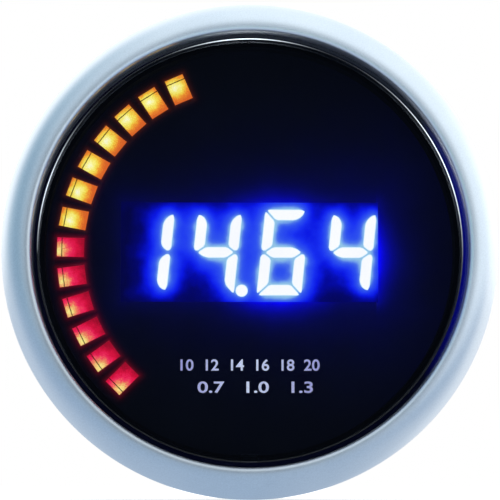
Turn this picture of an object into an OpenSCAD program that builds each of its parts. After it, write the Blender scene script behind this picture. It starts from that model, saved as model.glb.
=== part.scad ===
// Air fuel ratio gauge for a 52 mm panel hole, in millimetres.
// X points to the right, Y from the front to the rear along the gauge's axis, Z up.
// The origin is on the axis, in the plane where the bezel rests on the panel.

/* [Barrel] */
// Outside diameter of the barrel, which passes the panel hole
barrel_dia = 52; // [51:0.5:56]
// Length of the barrel behind the panel face
barrel_depth = 30; // [29:0.5:36]
// Wall of the barrel around the dial
barrel_wall = 1.4; // [1.2:0.1:1.7]
// How far the front flange stands out from the barrel
flange_over = 1.4; // [1.2:0.1:2]
// Thickness of the front flange
flange_t = 2.8; // [2.2:0.1:3.4]
// How far the neck in front of the panel face stands out from the barrel
neck_over = 0.6; // [0.3:0.1:0.8]
// Width of the inner ledge that carries the light box
ledge_w = 0.6; // [0.5:0.1:0.9]
// Chamfer on the rear edge of the barrel
barrel_edge = 0.5; // [0.2:0.1:0.7]
// Width of the key rib that stops the dial from turning
key_w = 1.6; // [1:0.1:2.4]
// Height of the key rib inside the bore
key_h = 0.6; // [0.4:0.1:0.8]

/* [Bezel] */
// Wall of the bezel around the flange
bezel_wall = 1.4; // [1.1:0.1:2.4]
// Height of the crest above the lens edge
bezel_rise = 2.6; // [2.2:0.1:4]
// Length of the straight side before the rounding starts
skirt_len = 4.6; // [3:0.1:6]
// How far the crest lies inside the outer edge
crest_in = 3; // [2:0.1:3.2]
// Width of the lip that holds the lens edge
lip_w = 2.3; // [1.9:0.1:2.4]
// Depth of the inner rounding below the crest
inner_drop = 0.8; // [0.5:0.1:1.6]
// Thickness of the edge that is rolled in behind the flange
roll_t = 1.2; // [0.8:0.1:1.6]
// Small chamfer between the bezel's side and its rear face
bezel_edge = 0.3; // [0.1:0.1:0.6]

/* [Lens and gasket] */
// Thickness of the gasket under the lens
gasket_t = 0.8; // [0.5:0.1:1.2]
// Radial width of the gasket
gasket_w = 2; // [1.4:0.1:2.3]
// Thickness of the lens at its edge
lens_edge_t = 1.25; // [0.9:0.05:1.6]
// Height of the raised middle of the lens above its edge
plateau_h = 0.7; // [0.4:0.1:1]
// Width of the lens edge that shows around the raised middle
lens_step_w = 0.7; // [0.5:0.1:1.3]
// Chamfer around the raised middle of the lens
plateau_chamfer = 0.15; // [0.05:0.05:0.3]

/* [Dial] */
// Distance from the lens to the dial, held by the spacer ring
dial_inset = 2.7; // [2:0.1:3.6]
// Radial thickness of the spacer ring
spacer_wall = 0.5; // [0.4:0.1:0.8]
// Thickness of the dial plate
dial_t = 0.6; // [0.4:0.1:1]
// Number of warning lights on the arc
light_count = 13; // [9:1:13]
// How many of the lights, counted from the lower end, are red
red_count = 6; // [1:1:8]
// Angle of the uppermost light, from the right-hand side
first_light_angle = 113.5; // [108:0.1:118]
// Angle between two lights
light_pitch_angle = 9.29; // [9:0.01:9.8]
// Distance from the edge of the dial to the middle of the lights
light_margin = 3.35; // [3.3:0.05:4]
// Radial length of a light's window
light_len = 3.2; // [2.6:0.1:3.5]
// Width of a light's window along the arc
light_w = 2.3; // [1.8:0.1:2.4]
// Width of the display window
window_w = 30.3; // [28:0.1:31]
// Height of the display window
window_h = 11.8; // [10.8:0.1:12.6]

/* [Light box] */
// Depth of the light box from the dial to the display board
box_depth = 4.6; // [4:0.1:5.6]
// Thickness of the front skin of the light box
box_skin = 1.2; // [0.8:0.1:1.6]
// Thickness of the rim of the light box
box_rim = 1.2; // [0.9:0.1:1.6]
// Wall between the lights and round the display
box_wall = 0.7; // [0.5:0.1:0.9]
// Diameter of the posts staked through the display board
stake_dia = 1.6; // [1.2:0.1:2]
// Diameter of the melted heads of the posts
stake_head_dia = 2.6; // [2.2:0.1:3]
// Height of the melted heads of the posts
stake_head_h = 0.6; // [0.4:0.1:1]

/* [Display] */
// Width of the display module
display_w = 32; // [28:0.1:33]
// Height of the display module
display_h = 14; // [13:0.1:14.4]
// The four digits shown
shown_digits = [1, 4, 6, 4];
// Which digit the lit decimal point follows
point_after = 2; // [1:1:3]
// Height of a digit
digit_h = 10.2; // [9:0.1:10.4]
// Share of a digit's place that the digit fills across, before it is slanted
digit_w_share = 0.67; // [0.62:0.01:0.68]
// Plain rim of the module beside the outer digits
display_rim = 0.1; // [0.05:0.05:0.3]
// Width of a segment
segment_w = 1.3; // [1:0.05:1.4]
// Gap between two segments
segment_gap = 0.15; // [0.1:0.01:0.22]
// Depth of the segments in the module
segment_depth = 1.2; // [0.8:0.1:2]
// Slant of the digits, in degrees
slant_angle = 6; // [0:1:8]
// Diameter of a decimal point
point_dia = 1.46; // [1.2:0.02:1.5]
// Gap between a digit and its decimal point
point_gap = 0.12; // [0.1:0.01:0.2]
// How far the decimal point reaches below the digit
point_drop = 0.15; // [0:0.05:0.4]

/* [Boards] */
// Thickness of the two circuit boards
board_t = 1.6; // [1.2:0.1:1.8]
// Gap between the boards and the inside of the barrel
board_gap = 0.4; // [0.2:0.1:0.8]
// Room between the main board and the rear cover
rear_room = 6.8; // [6.4:0.1:8]
// Width across the flats of a standoff
standoff_flats = 5; // [4.5:0.1:5.4]
// Diameter of the board screws
board_screw_dia = 2.4; // [2:0.1:2.6]
// Head diameter of the board screws
board_head_dia = 4.5; // [4:0.1:4.6]
// Head height of the board screws
board_head_h = 1.6; // [1.2:0.1:1.8]
// Length of the board screws under the head
board_screw_len = 6; // [5:0.5:7]

/* [Sockets] */
// Distance from one contact pin to the next
pin_pitch = 3; // [2.6:0.1:3.1]
// Width of a square contact pin
pin_w = 0.64; // [0.5:0.02:0.7]
// Height of the pins above the main board
pin_rise = 5; // [4:0.1:5]
// Room round the pins inside a socket
socket_room = 2.2; // [2:0.1:2.3]
// Wall of the sockets
socket_wall = 1.2; // [0.8:0.1:1.3]
// Thickness of the socket floor
socket_floor = 1.7; // [1.2:0.1:2.2]
// How far the sockets stand out of the rear cover
socket_proud = 0.9; // [0.4:0.1:1.8]
// Distance from the axis to the middle of a socket
socket_offset = 13; // [12.7:0.1:13.2]
// Pin columns of the sensor socket
sensor_columns = 3; // [2:1:3]
// Pin columns of the power socket
power_columns = 2; // [2:1:3]

/* [Rear cover] */
// Thickness of the rear cover
cover_t = 2; // [1.6:0.1:2.4]
// Width of the step that the rear cover lies on
cover_step = 0.7; // [0.5:0.1:0.8]
// Diameter of the cover screws
cover_screw_dia = 2.4; // [2:0.1:2.8]
// Head diameter of the cover screws
cover_head_dia = 4.8; // [4.2:0.1:5]
// Head height of the cover screws
cover_head_h = 1.6; // [1.2:0.1:2]
// Length of the cover screws under the head
cover_screw_len = 7; // [5.5:0.5:7]
// Diameter of the screw bosses inside the barrel
boss_dia = 4.4; // [4.2:0.1:4.8]
// Distance from the bore's wall to the middle of a boss
boss_in = 2.5; // [2.3:0.1:2.7]

/* [Studs and clamp] */
// Diameter of the mounting studs
stud_dia = 4; // [3.5:0.1:4.4]
// Distance between the two studs
stud_spacing = 30; // [28:0.5:32]
// Length of the studs behind the rear cover
stud_out = 23; // [22:0.5:30]
// Width across the flats of the stud heads and lock nuts
stud_flats = 7; // [6:0.1:7.4]
// Thickness of the stud heads inside the cover
stud_head_t = 2.8; // [2:0.1:3]
// Thickness of the lock nuts outside the cover
lock_nut_t = 2.2; // [1.6:0.1:2.6]
// Width of the clamp bracket
bracket_w = 16; // [12:0.5:16]
// Thickness of the bracket's sheet
bracket_t = 1.5; // [1:0.1:1.7]
// Gap between the barrel and a leg of the bracket
leg_gap = 1; // [0.8:0.1:1.2]
// Distance from the panel face to the ends of the legs
leg_space = 11; // [9.5:0.5:14]
// Distance from the rear cover to the bracket's base
base_space = 12; // [11.5:0.5:13]
// Inside radius of the bracket's bends
bend_r = 2; // [1:0.1:4]
// Width of the notch in the end of each leg
notch_w = 7; // [4:0.5:9]
// Depth of the notch in the end of each leg
notch_depth = 2.5; // [1:0.1:4]
// Diameter of the spring washers
washer_dia = 7.6; // [7:0.1:9]
// Thickness of the spring washers
washer_t = 1; // [0.6:0.1:1.2]
// Width of the split in a spring washer
washer_split = 0.8; // [0.4:0.1:1.2]
// Diameter of the thumb nuts over the ridges
nut_dia = 10; // [9:0.1:12]
// Length of the ridged grip
nut_grip_len = 5; // [4:0.1:6]
// Length of the plain collar
nut_collar_len = 2; // [1:0.1:2]
// Diameter of the plain collar
nut_collar_dia = 7.2; // [6.4:0.1:8]
// Number of ridges round the grip
nut_ridges = 28; // [20:1:32]
// Depth of the grooves between the ridges
nut_groove = 0.35; // [0.2:0.05:0.5]

/* [Clearances] */
// Between the bore and what is stacked in it
stack_fit = 0.2; // [0.1:0.05:0.3]
// Between the bezel and the flange or the neck
bezel_fit = 0.2; // [0.1:0.05:0.3]
// Between the flange and the rolled edge behind it
roll_fit = 0.1; // [0.05:0.01:0.15]
// Between the lens and the bezel's lip
lens_fit = 0.05; // [0.02:0.01:0.1]
// Between the display module and its surroundings
display_fit = 0.1; // [0.05:0.01:0.2]
// Between the sockets and the cut-outs of the cover
socket_fit = 0.15; // [0.1:0.01:0.2]
// Between a screw or stud and its thread
thread_fit = 0.05; // [0.02:0.01:0.08]
// Between a pin and its hole
pin_fit = 0.02; // [0.01:0.01:0.04]
// Between a solder pin and its plated hole
solder_fit = 0.1; // [0.05:0.01:0.14]
// Between a stud and the hole of the bracket
bracket_fit = 0.25; // [0.15:0.01:0.3]

/* [Hidden] */
$fn = 96;
overrun = 0.5;
to_rear = [-90, 0, 0];
to_front = [90, 0, 0];
full_turn = 360;
quarter_turn = 90;
hexagon = 6;
octant_angles = [45, 135, 225, 315];
arc_steps = 10;

// Radii, from the barrel outwards and inwards
barrel_r = barrel_dia / 2;
flange_r = barrel_r + flange_over;
neck_r = barrel_r + neck_over;
skirt_r = flange_r + bezel_fit;
bezel_r = skirt_r + bezel_wall;
crest_r = bezel_r - crest_in;
opening_r = skirt_r - lip_w;
roll_r = neck_r + bezel_fit / 2;
plateau_r = opening_r - lens_step_w;
lens_r = flange_r - bezel_fit / 2;
gasket_r = lens_r - bezel_fit / 2;
bore_r = barrel_r - barrel_wall;
seat_r = bore_r - ledge_w;
dial_r = bore_r - stack_fit;
board_r = seat_r - board_gap;
rebate_r = seat_r + cover_step;
cover_r = rebate_r - stack_fit;

// Depths, from the panel face forwards
flange_rear = -roll_t - roll_fit;
flange_front = flange_rear - flange_t;
lens_rear = flange_front - gasket_t;
lens_front = lens_rear - lens_edge_t;
plateau_front = lens_front - plateau_h;
lip_y = lens_front - lens_fit;
crest_y = lip_y - bezel_rise;

// Depths, from the dial rearwards
dial_front = lens_rear + dial_inset;
box_front = dial_front + dial_t;
board_front = box_front + box_depth;
board_rear = board_front + board_t;
display_front = box_front + display_fit;
cover_front = barrel_depth - cover_t;
main_rear = cover_front - rear_room;
main_front = main_rear - board_t;
socket_rear = barrel_depth + socket_proud;
pin_tip = main_rear + pin_rise;

// Lights
light_ring_r = dial_r - light_margin;
amber_count = light_count - red_count;
well_len = light_len + display_fit;
well_w = light_w + display_fit;
well_block_r = light_ring_r - well_len / 2 - box_wall;
well_block_margin_angle = 6;
led_len = 2;
led_w = 1.25;
led_h = 0.8;
led_base_h = 0.35;
led_lens_len = 1.2;
led_lens_w = 1.05;
stake_angles = [20, 82, 250, 322];
stake_ring_r = dial_r - box_rim - stake_head_dia / 2 - stack_fit;
key_angle = -90;

// Segments that are lit for the numbers 0 to 9, in the order a b c d e f g
segments_of = [
    [1, 1, 1, 1, 1, 1, 0],
    [0, 1, 1, 0, 0, 0, 0],
    [1, 1, 0, 1, 1, 0, 1],
    [1, 1, 1, 1, 0, 0, 1],
    [0, 1, 1, 0, 0, 1, 1],
    [1, 0, 1, 1, 0, 1, 1],
    [1, 0, 1, 1, 1, 1, 1],
    [1, 1, 1, 0, 0, 0, 0],
    [1, 1, 1, 1, 1, 1, 1],
    [1, 1, 1, 1, 0, 1, 1]
];
digit_count = len(shown_digits);
digit_pitch = (display_w - 2 * display_rim) / digit_count;
digit_w = digit_pitch * digit_w_share;
mitre = segment_gap / sqrt(2);
tip_share = 0.7;
corner_cut = segment_w / 4;
display_pin_dia = 0.5;
display_pin_columns = 6;
display_pin_pitch = 2.54;
display_pin_row_share = 0.37;
pin_tail = 1;

// Standoffs, on both boards
standoff_ring_r = well_block_r - board_head_dia / 2 - stack_fit;
standoff_r = standoff_flats / sqrt(3);

// Parts on the boards
chip_lift = 0.1;
lead_t = 0.2;
lead_w = 0.4;
lead_reach = 1;
lead_root = 0.3;
controller_size = 10;
controller_h = 1.6;
controller_leads = 11;
controller_pitch = 0.8;
driver_len = 10;
driver_w = 4;
driver_h = 1.6;
driver_leads = 8;
wide_chip_len = 15;
wide_chip_w = 5.6;
wide_chip_h = 2.4;
wide_chip_leads = 12;
wide_chip_x = 16;
chip_lead_pitch = 1.2;
crystal_len = 5;
crystal_w = 3.2;
crystal_h = 1.2;
crystal_base_h = 0.5;
crystal_rim = 0.3;
crystal_x = 9.3;
capacitor_dia = 6.3;
capacitor_h = 7.7;
capacitor_base = 6.6;
capacitor_base_h = 0.8;
capacitor_vent_w = 0.4;
capacitor_vent_depth = 0.3;
capacitor_ring_r = board_r - capacitor_base / 2 - 2 * board_gap;
capacitor_angles = [90, 270, 291];
resistor_len = 2;
resistor_w = 1.25;
resistor_h = 0.5;
resistor_pitch = 2.6;
resistor_count = 4;
resistor_z = 8;
regulator_len = 6.5;
regulator_w = 3.5;
regulator_h = 1.6;
regulator_leads = 3;
regulator_lead_pitch = 2.3;
regulator_x = 12;
transistor_len = 6.6;
transistor_w = 6.1;
transistor_h = 2.3;
transistor_leads = 2;
transistor_lead_pitch = 4.6;
transistor_tab_t = 0.5;
transistor_x = 6;

// Link between the boards
link_columns = 5;
link_rows = 2;
link_pitch = 2.54;
link_x = 15.6;
link_base_h = 2.5;
link_gap = 4;
link_socket_h = main_front - board_rear - link_base_h - link_gap;
link_hole_w = 0.9;
link_hole_share = 0.6;
link_hole_depth = link_socket_h * link_hole_share;
link_engage_share = 0.8;
link_engage = link_hole_depth * link_engage_share;

// Sockets and rear cover
socket_rows = 2;
key_rib_w = 0.8;
key_rib_h = 0.5;
boss_ring_r = seat_r - boss_in;
boss_clear = 1.3;
boss_front = main_rear + boss_clear;
boss_web_w = 2.4;
cover_screw_angles = [30, 150, 270];
driver_slot_w = 0.7;
driver_slot_len = 2.6;
driver_slot_depth = 0.7;
head_side_share = 0.8;
head_crown_share = 0.85;

// Studs and clamp
stud_r = stud_dia / 2;
stud_head_r = stud_flats / sqrt(3);
stud_sides = [-1, 1];
stud_point = 0.5;
leg_in = barrel_r + leg_gap;
leg_out = leg_in + bracket_t;
base_front = barrel_depth + base_space;
base_rear = base_front + bracket_t;
washer_rear = base_rear + washer_t;
nut_collar_rear = washer_rear + nut_collar_len;
nut_rear = nut_collar_rear + nut_grip_len;
nut_bevel = 0.5;

// Placing helpers

// A solid turned about the gauge's axis from [radius, depth] points
module turned(points) {
    rotate(to_rear) rotate_extrude() polygon(points);
}

// A round bar along the axis between two depths
module rod(radius, front, rear) {
    translate([0, front, 0]) rotate(to_rear) cylinder(r = radius, h = rear - front);
}

// A hexagonal bar along the axis between two depths
module hex_rod(radius, front, rear) {
    translate([0, front, 0]) rotate(to_rear) cylinder(r = radius, h = rear - front, $fn = hexagon);
}

module tube(radius, hole_r, front, rear) {
    difference() {
        rod(radius, front, rear);
        rod(hole_r, front - overrun, rear + overrun);
    }
}

// A block centred on the axis between two depths
module slab(size_x, size_z, front, rear) {
    translate([-size_x / 2, front, -size_z / 2]) cube([size_x, rear - front, size_z]);
}

// A flat drawing, seen from the front, made solid between two depths
module sheet(front, rear) {
    translate([0, rear, 0]) rotate(to_front) linear_extrude(rear - front) children();
}

// Turned so that X points outwards at an angle on the dial, and moved out by a radius
module at_angle(angle, radius) {
    rotate([0, -angle, 0]) translate([radius, 0, 0]) children();
}

// Moved out to an angle on the dial without turning
module toward(angle, radius) {
    translate([radius * cos(angle), 0, radius * sin(angle)]) children();
}

// Stands a part on the rear or the front face of a board
module on_rear(face) {
    translate([0, face, 0]) children();
}

module on_front(face) {
    translate([0, face, 0]) mirror([0, 1, 0]) children();
}

function light_angle(i) = first_light_angle + i * light_pitch_angle;
function centred(i, count, pitch) = (i - (count - 1) / 2) * pitch;

// Barrel, bezel and lens

module bezel() {
    outer_arc = [for (i = [0 : arc_steps])
        let (t = quarter_turn * i / arc_steps)
        [crest_r + crest_in * cos(t), -skirt_len + (crest_y + skirt_len) * sin(t)]];
    inner_arc = [for (i = [1 : arc_steps])
        let (t = quarter_turn * i / arc_steps)
        [crest_r - (crest_r - opening_r) * sin(t), crest_y + inner_drop * (1 - cos(t))]];
    rear_face = [[roll_r, 0], [bezel_r - bezel_edge, 0], [bezel_r, -bezel_edge]];
    groove = [[opening_r, lip_y], [skirt_r, lip_y], [skirt_r, -roll_t], [roll_r, -roll_t]];
    color("#c3cdd6") turned(concat(rear_face, outer_arc, inner_arc, groove));
}

module lens() {
    color("#20242c", 0.35) turned([
        [0, plateau_front],
        [plateau_r - plateau_chamfer, plateau_front],
        [plateau_r, plateau_front + plateau_chamfer],
        [plateau_r, lens_front],
        [lens_r, lens_front],
        [lens_r, lens_rear],
        [0, lens_rear]
    ]);
}

module lens_gasket() {
    color("#101114") tube(gasket_r, gasket_r - gasket_w, lens_rear, flange_front);
}

// A radial key at the bottom of the bore, reaching in to a radius
module key_block(inner_r, width, front, rear) {
    at_angle(key_angle, inner_r)
        translate([0, front, -width / 2]) cube([bore_r + ledge_w - inner_r, rear - front, width]);
}

module key_slot(front, rear) {
    key_block(bore_r - key_h - stack_fit, key_w + 2 * stack_fit, front - overrun, rear + overrun);
}

module housing_shell() {
    turned([
        [bore_r, flange_front],
        [flange_r, flange_front],
        [flange_r, flange_rear],
        [neck_r, flange_rear],
        [neck_r, 0],
        [barrel_r, 0],
        [barrel_r, barrel_depth - barrel_edge],
        [barrel_r - barrel_edge, barrel_depth],
        [rebate_r, barrel_depth],
        [rebate_r, cover_front],
        [seat_r, cover_front],
        [seat_r, board_front],
        [bore_r, board_front]
    ]);
}

module housing() {
    color("#17191d") difference() {
        union() {
            housing_shell();
            key_block(bore_r - key_h, key_w, flange_front, board_front);
            for (angle = cover_screw_angles) {
                at_angle(angle, boss_ring_r) rod(boss_dia / 2, boss_front, cover_front);
                at_angle(angle, boss_ring_r)
                    translate([0, boss_front, -boss_web_w / 2])
                        cube([boss_in + ledge_w, cover_front - boss_front, boss_web_w]);
            }
        }
        for (angle = cover_screw_angles)
            at_angle(angle, boss_ring_r)
                rod(cover_screw_dia / 2 + thread_fit, boss_front - overrun, cover_front + overrun);
    }
}

// Dial and light box

module dial_spacer_ring() {
    color("#0b0c10") difference() {
        tube(dial_r, dial_r - spacer_wall, lens_rear, dial_front);
        key_slot(lens_rear, dial_front);
    }
}

module dial_plate() {
    color("#06080f") difference() {
        rod(dial_r, dial_front, box_front);
        for (i = [0 : light_count - 1])
            at_angle(light_angle(i), light_ring_r)
                slab(light_len, light_w, dial_front - overrun, box_front + overrun);
        slab(window_w, window_h, dial_front - overrun, box_front + overrun);
        key_slot(dial_front, box_front);
    }
}

// The curved block that holds the wells of the lights
module well_block() {
    start = first_light_angle - well_block_margin_angle;
    end = light_angle(light_count - 1) + well_block_margin_angle;
    middle = (start + end) / 2;
    reach = 2 * dial_r;
    intersection() {
        tube(dial_r, well_block_r, box_front, board_front);
        sheet(box_front, board_front)
            polygon([
                [0, 0],
                reach * [cos(start), sin(start)],
                reach * [cos(middle), sin(middle)],
                reach * [cos(end), sin(end)]
            ]);
    }
}

module light_box() {
    room_w = display_w + 2 * display_fit;
    room_h = display_h + 2 * display_fit;
    color("#e9e9e4") difference() {
        union() {
            rod(dial_r, box_front, box_front + box_skin);
            tube(dial_r, dial_r - box_rim, box_front, board_front);
            well_block();
            slab(room_w + 2 * box_wall, room_h + 2 * box_wall, box_front, board_front);
            for (angle = stake_angles)
                toward(angle, stake_ring_r) {
                    rod(stake_dia / 2, box_front, board_rear + overrun / 2);
                    rod(stake_head_dia / 2, box_front, board_front);
                    rod(stake_head_dia / 2, board_rear, board_rear + stake_head_h);
                }
        }
        for (i = [0 : light_count - 1])
            at_angle(light_angle(i), light_ring_r)
                slab(well_len, well_w, box_front - overrun, board_front + overrun);
        slab(room_w, room_h, box_front - overrun, board_front + overrun);
        key_slot(box_front, board_front);
    }
}

// A surface mounted light at one well
module led(i) {
    at_angle(light_angle(i), light_ring_r) {
        slab(led_len, led_w, board_front - led_base_h, board_front);
        slab(led_lens_len, led_lens_w, board_front - led_h, board_front - led_base_h / 2);
    }
}

module amber_leds() {
    color("#f0b43c") for (i = [0 : amber_count - 1]) led(i);
}

module red_leds() {
    color("#d23c46") for (i = [amber_count : light_count - 1]) led(i);
}

// Display module

// Points of one segment of an upright digit, for the upper left quarter
top_bar_points = [
    [-digit_w / 2 + mitre + corner_cut, digit_h / 2],
    [digit_w / 2 - mitre - corner_cut, digit_h / 2],
    [digit_w / 2 - mitre - corner_cut / 2, digit_h / 2 - corner_cut / 2],
    [digit_w / 2 - mitre - segment_w, digit_h / 2 - segment_w],
    [-digit_w / 2 + mitre + segment_w, digit_h / 2 - segment_w],
    [-digit_w / 2 + mitre + corner_cut / 2, digit_h / 2 - corner_cut / 2]
];
side_bar_points = [
    [-digit_w / 2, digit_h / 2 - mitre - corner_cut],
    [-digit_w / 2 + corner_cut / 2, digit_h / 2 - mitre - corner_cut / 2],
    [-digit_w / 2 + segment_w, digit_h / 2 - mitre - segment_w],
    [-digit_w / 2 + segment_w, segment_w / 2 + mitre],
    [-digit_w / 2 + segment_w * (1 - tip_share), mitre],
    [-digit_w / 2, mitre + corner_cut]
];
middle_bar_points = [
    [-digit_w / 2 + segment_w * (1 - tip_share) + mitre, 0],
    [-digit_w / 2 + segment_w + mitre, segment_w / 2],
    [digit_w / 2 - segment_w - mitre, segment_w / 2],
    [digit_w / 2 - segment_w * (1 - tip_share) - mitre, 0],
    [digit_w / 2 - segment_w - mitre, -segment_w / 2],
    [-digit_w / 2 + segment_w + mitre, -segment_w / 2]
];

// Each segment a to g: its points and how they are mirrored across and up
segment_shapes = [
    [top_bar_points, [1, 1]],
    [side_bar_points, [-1, 1]],
    [side_bar_points, [-1, -1]],
    [top_bar_points, [1, -1]],
    [side_bar_points, [1, -1]],
    [side_bar_points, [1, 1]],
    [middle_bar_points, [1, 1]]
];

function slanted(point) = [point.x + point.y * tan(slant_angle), point.y];
function segment_outline(s) = [for (p = segment_shapes[s][0])
    slanted([p.x * segment_shapes[s][1].x, p.y * segment_shapes[s][1].y])];
function is_lit(d, s) = segments_of[shown_digits[d]][s] == 1;
point_place = slanted([
    digit_w / 2 + point_gap + point_dia / 2,
    -digit_h / 2 - point_drop + point_dia / 2
]);

// The segments of all digits that are lit, or those that are dark
module segments(lit, front, rear) {
    for (d = [0 : digit_count - 1])
        translate([centred(d, digit_count, digit_pitch), 0, 0]) {
            for (s = [0 : len(segment_shapes) - 1])
                if (is_lit(d, s) == lit) sheet(front, rear) polygon(segment_outline(s));
            if ((d + 1 == point_after) == lit)
                translate([point_place.x, 0, point_place.y]) rod(point_dia / 2, front, rear);
        }
}

module display_body() {
    color("#10131c") difference() {
        slab(display_w, display_h, display_front, board_front);
        segments(true, display_front - overrun, display_front + segment_depth);
        segments(false, display_front - overrun, display_front + segment_depth);
    }
}

module lit_segments() {
    color("#eaffff") segments(true, display_front, display_front + segment_depth);
}

module unlit_segments() {
    color("#0a18a0") segments(false, display_front, display_front + segment_depth);
}

module at_display_pins() {
    for (column = [0 : display_pin_columns - 1], row = [-1, 1])
        translate([
            centred(column, display_pin_columns, display_pin_pitch),
            0,
            row * display_h * display_pin_row_share
        ]) children();
}

module display_pins() {
    color("#c8ccd0") at_display_pins()
        rod(display_pin_dia / 2, board_front, board_rear + pin_tail);
}

// Boards

module at_standoffs() {
    for (angle = octant_angles) toward(angle, standoff_ring_r) children();
}

module board(front) {
    difference() {
        rod(board_r, front, front + board_t);
        at_standoffs()
            rod(board_screw_dia / 2 + thread_fit, front - overrun, front + board_t + overrun);
    }
}

module display_board() {
    color("#1d5a34") difference() {
        board(board_front);
        for (angle = stake_angles)
            toward(angle, stake_ring_r)
                rod(stake_dia / 2 + thread_fit, board_front - overrun, board_rear + overrun);
        at_display_pins()
            rod(display_pin_dia / 2 + solder_fit, board_front - overrun, board_rear + overrun);
    }
}

module main_board() {
    hole_r = pin_w / sqrt(2) + solder_fit;
    color("#1d5a34") difference() {
        board(main_front);
        at_pins(sensor_columns, socket_offset) rod(hole_r, main_front - overrun, main_rear + overrun);
        at_pins(power_columns, -socket_offset) rod(hole_r, main_front - overrun, main_rear + overrun);
        at_link_pins() rod(hole_r, main_front - overrun, main_rear + overrun);
    }
}

module board_standoffs() {
    color("#c9a85a") at_standoffs() difference() {
        hex_rod(standoff_r, board_rear, main_front);
        rod(board_screw_dia / 2 + thread_fit, board_rear - overrun, main_front + overrun);
    }
}

// A pan head screw whose head lies behind the origin and whose shank points to the front
module pan_screw(shank_dia, shank_len, head_dia, head_h) {
    difference() {
        union() {
            rod(shank_dia / 2, -shank_len, overrun / 2);
            turned([
                [0, 0],
                [head_dia / 2, 0],
                [head_dia / 2, head_h / 2],
                [head_dia / 2 * head_side_share, head_h * head_crown_share],
                [head_dia / 4, head_h],
                [0, head_h]
            ]);
        }
        for (side = [0, 1])
            rotate([0, side * quarter_turn, 0])
                slab(driver_slot_len, driver_slot_w, head_h - driver_slot_depth, head_h + overrun);
    }
}

module board_screw() {
    pan_screw(board_screw_dia, board_screw_len, board_head_dia, board_head_h);
}

module front_board_screws() {
    color("#b8bcc2") at_standoffs() on_front(board_front) board_screw();
}

module rear_board_screws() {
    color("#b8bcc2") at_standoffs() on_rear(main_rear) board_screw();
}

// Parts on the boards, each standing on Y = 0 and rising to the rear

// A row of bent leads on both long sides of a chip
module leads(count, pitch, body_w, body_h) {
    for (i = [0 : count - 1], side = [-1, 1])
        translate([centred(i, count, pitch), 0, side * body_w / 2]) {
            slab(lead_w, 2 * lead_root, chip_lift, body_h / 2);
            translate([0, 0, side * lead_reach / 2]) slab(lead_w, lead_reach, 0, lead_t);
        }
}

module chip(size_x, size_z, height, lead_count, pitch) {
    slab(size_x, size_z, chip_lift, height);
    leads(lead_count, pitch, size_z, height);
}

module display_driver() {
    color("#1a1a1c") on_rear(board_rear)
        chip(driver_len, driver_w, driver_h, driver_leads, chip_lead_pitch);
}

module microcontroller() {
    color("#1a1a1c") on_front(main_front) {
        chip(controller_size, controller_size, controller_h, controller_leads, controller_pitch);
        rotate([0, quarter_turn, 0])
            leads(controller_leads, controller_pitch, controller_size, controller_h);
    }
}

module sensor_chip() {
    color("#1a1a1c") on_front(main_front) translate([-wide_chip_x, 0, 0])
        rotate([0, quarter_turn, 0])
            chip(wide_chip_len, wide_chip_w, wide_chip_h, wide_chip_leads, chip_lead_pitch);
}

module crystal() {
    color("#bfc3c7") on_front(main_front) translate([crystal_x, 0, 0]) {
        slab(crystal_w, crystal_len, 0, crystal_base_h);
        slab(crystal_w - 2 * crystal_rim, crystal_len - 2 * crystal_rim, 0, crystal_h);
    }
}

module filter_capacitors() {
    color("#9aa3ad") on_front(main_front)
        for (angle = capacitor_angles)
            toward(angle, capacitor_ring_r) difference() {
                union() {
                    slab(capacitor_base, capacitor_base, 0, capacitor_base_h);
                    rod(capacitor_dia / 2, 0, capacitor_h);
                }
                slab(capacitor_dia / 2, capacitor_vent_w,
                    capacitor_h - capacitor_vent_depth, capacitor_h + overrun);
            }
}

module chip_resistors() {
    color("#2c2c30") on_front(main_front)
        for (i = [0 : resistor_count - 1], side = [-1, 1])
            translate([centred(i, resistor_count, resistor_pitch), 0, side * resistor_z])
                slab(resistor_len, resistor_w, 0, resistor_h);
}

module voltage_regulator() {
    color("#1a1a1c") on_rear(main_rear) translate([-regulator_x, 0, 0]) {
        chip(regulator_len, regulator_w, regulator_h, regulator_leads, regulator_lead_pitch);
    }
}

module heater_transistor() {
    color("#1a1a1c") on_rear(main_rear) translate([transistor_x, 0, 0]) {
        chip(transistor_len, transistor_w, transistor_h, transistor_leads, transistor_lead_pitch);
        slab(transistor_len - lead_reach, transistor_w + 2 * lead_reach, 0, transistor_tab_t);
    }
}

module at_link_pins() {
    for (column = [0 : link_columns - 1], row = [0 : link_rows - 1])
        translate([
            link_x + centred(row, link_rows, link_pitch),
            0,
            centred(column, link_columns, link_pitch)
        ]) children();
}

module link_body(height) {
    translate([link_x, 0, 0]) slab(link_rows * link_pitch, link_columns * link_pitch, 0, height);
}

module link_socket() {
    socket_top = board_rear + link_socket_h;
    color("#202124") difference() {
        on_rear(board_rear) link_body(link_socket_h);
        at_link_pins()
            slab(link_hole_w, link_hole_w, socket_top - link_hole_depth, socket_top + overrun);
    }
}

module link_header() {
    hole_w = pin_w + 2 * pin_fit;
    color("#202124") difference() {
        on_front(main_front) link_body(link_base_h);
        at_link_pins()
            slab(hole_w, hole_w, main_front - link_base_h - overrun, main_front + overrun);
    }
}

module link_pins() {
    tip = board_rear + link_socket_h - link_engage;
    color("#d6b35c") at_link_pins() slab(pin_w, pin_w, tip, main_rear + pin_tail);
}

// Sockets

module at_pins(columns, offset) {
    for (column = [0 : columns - 1], row = [0 : socket_rows - 1])
        translate([
            centred(column, columns, pin_pitch),
            0,
            offset + centred(row, socket_rows, pin_pitch)
        ]) children();
}

function cavity_w(columns) = (columns - 1) * pin_pitch + 2 * socket_room;
cavity_h = cavity_w(socket_rows);

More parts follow.
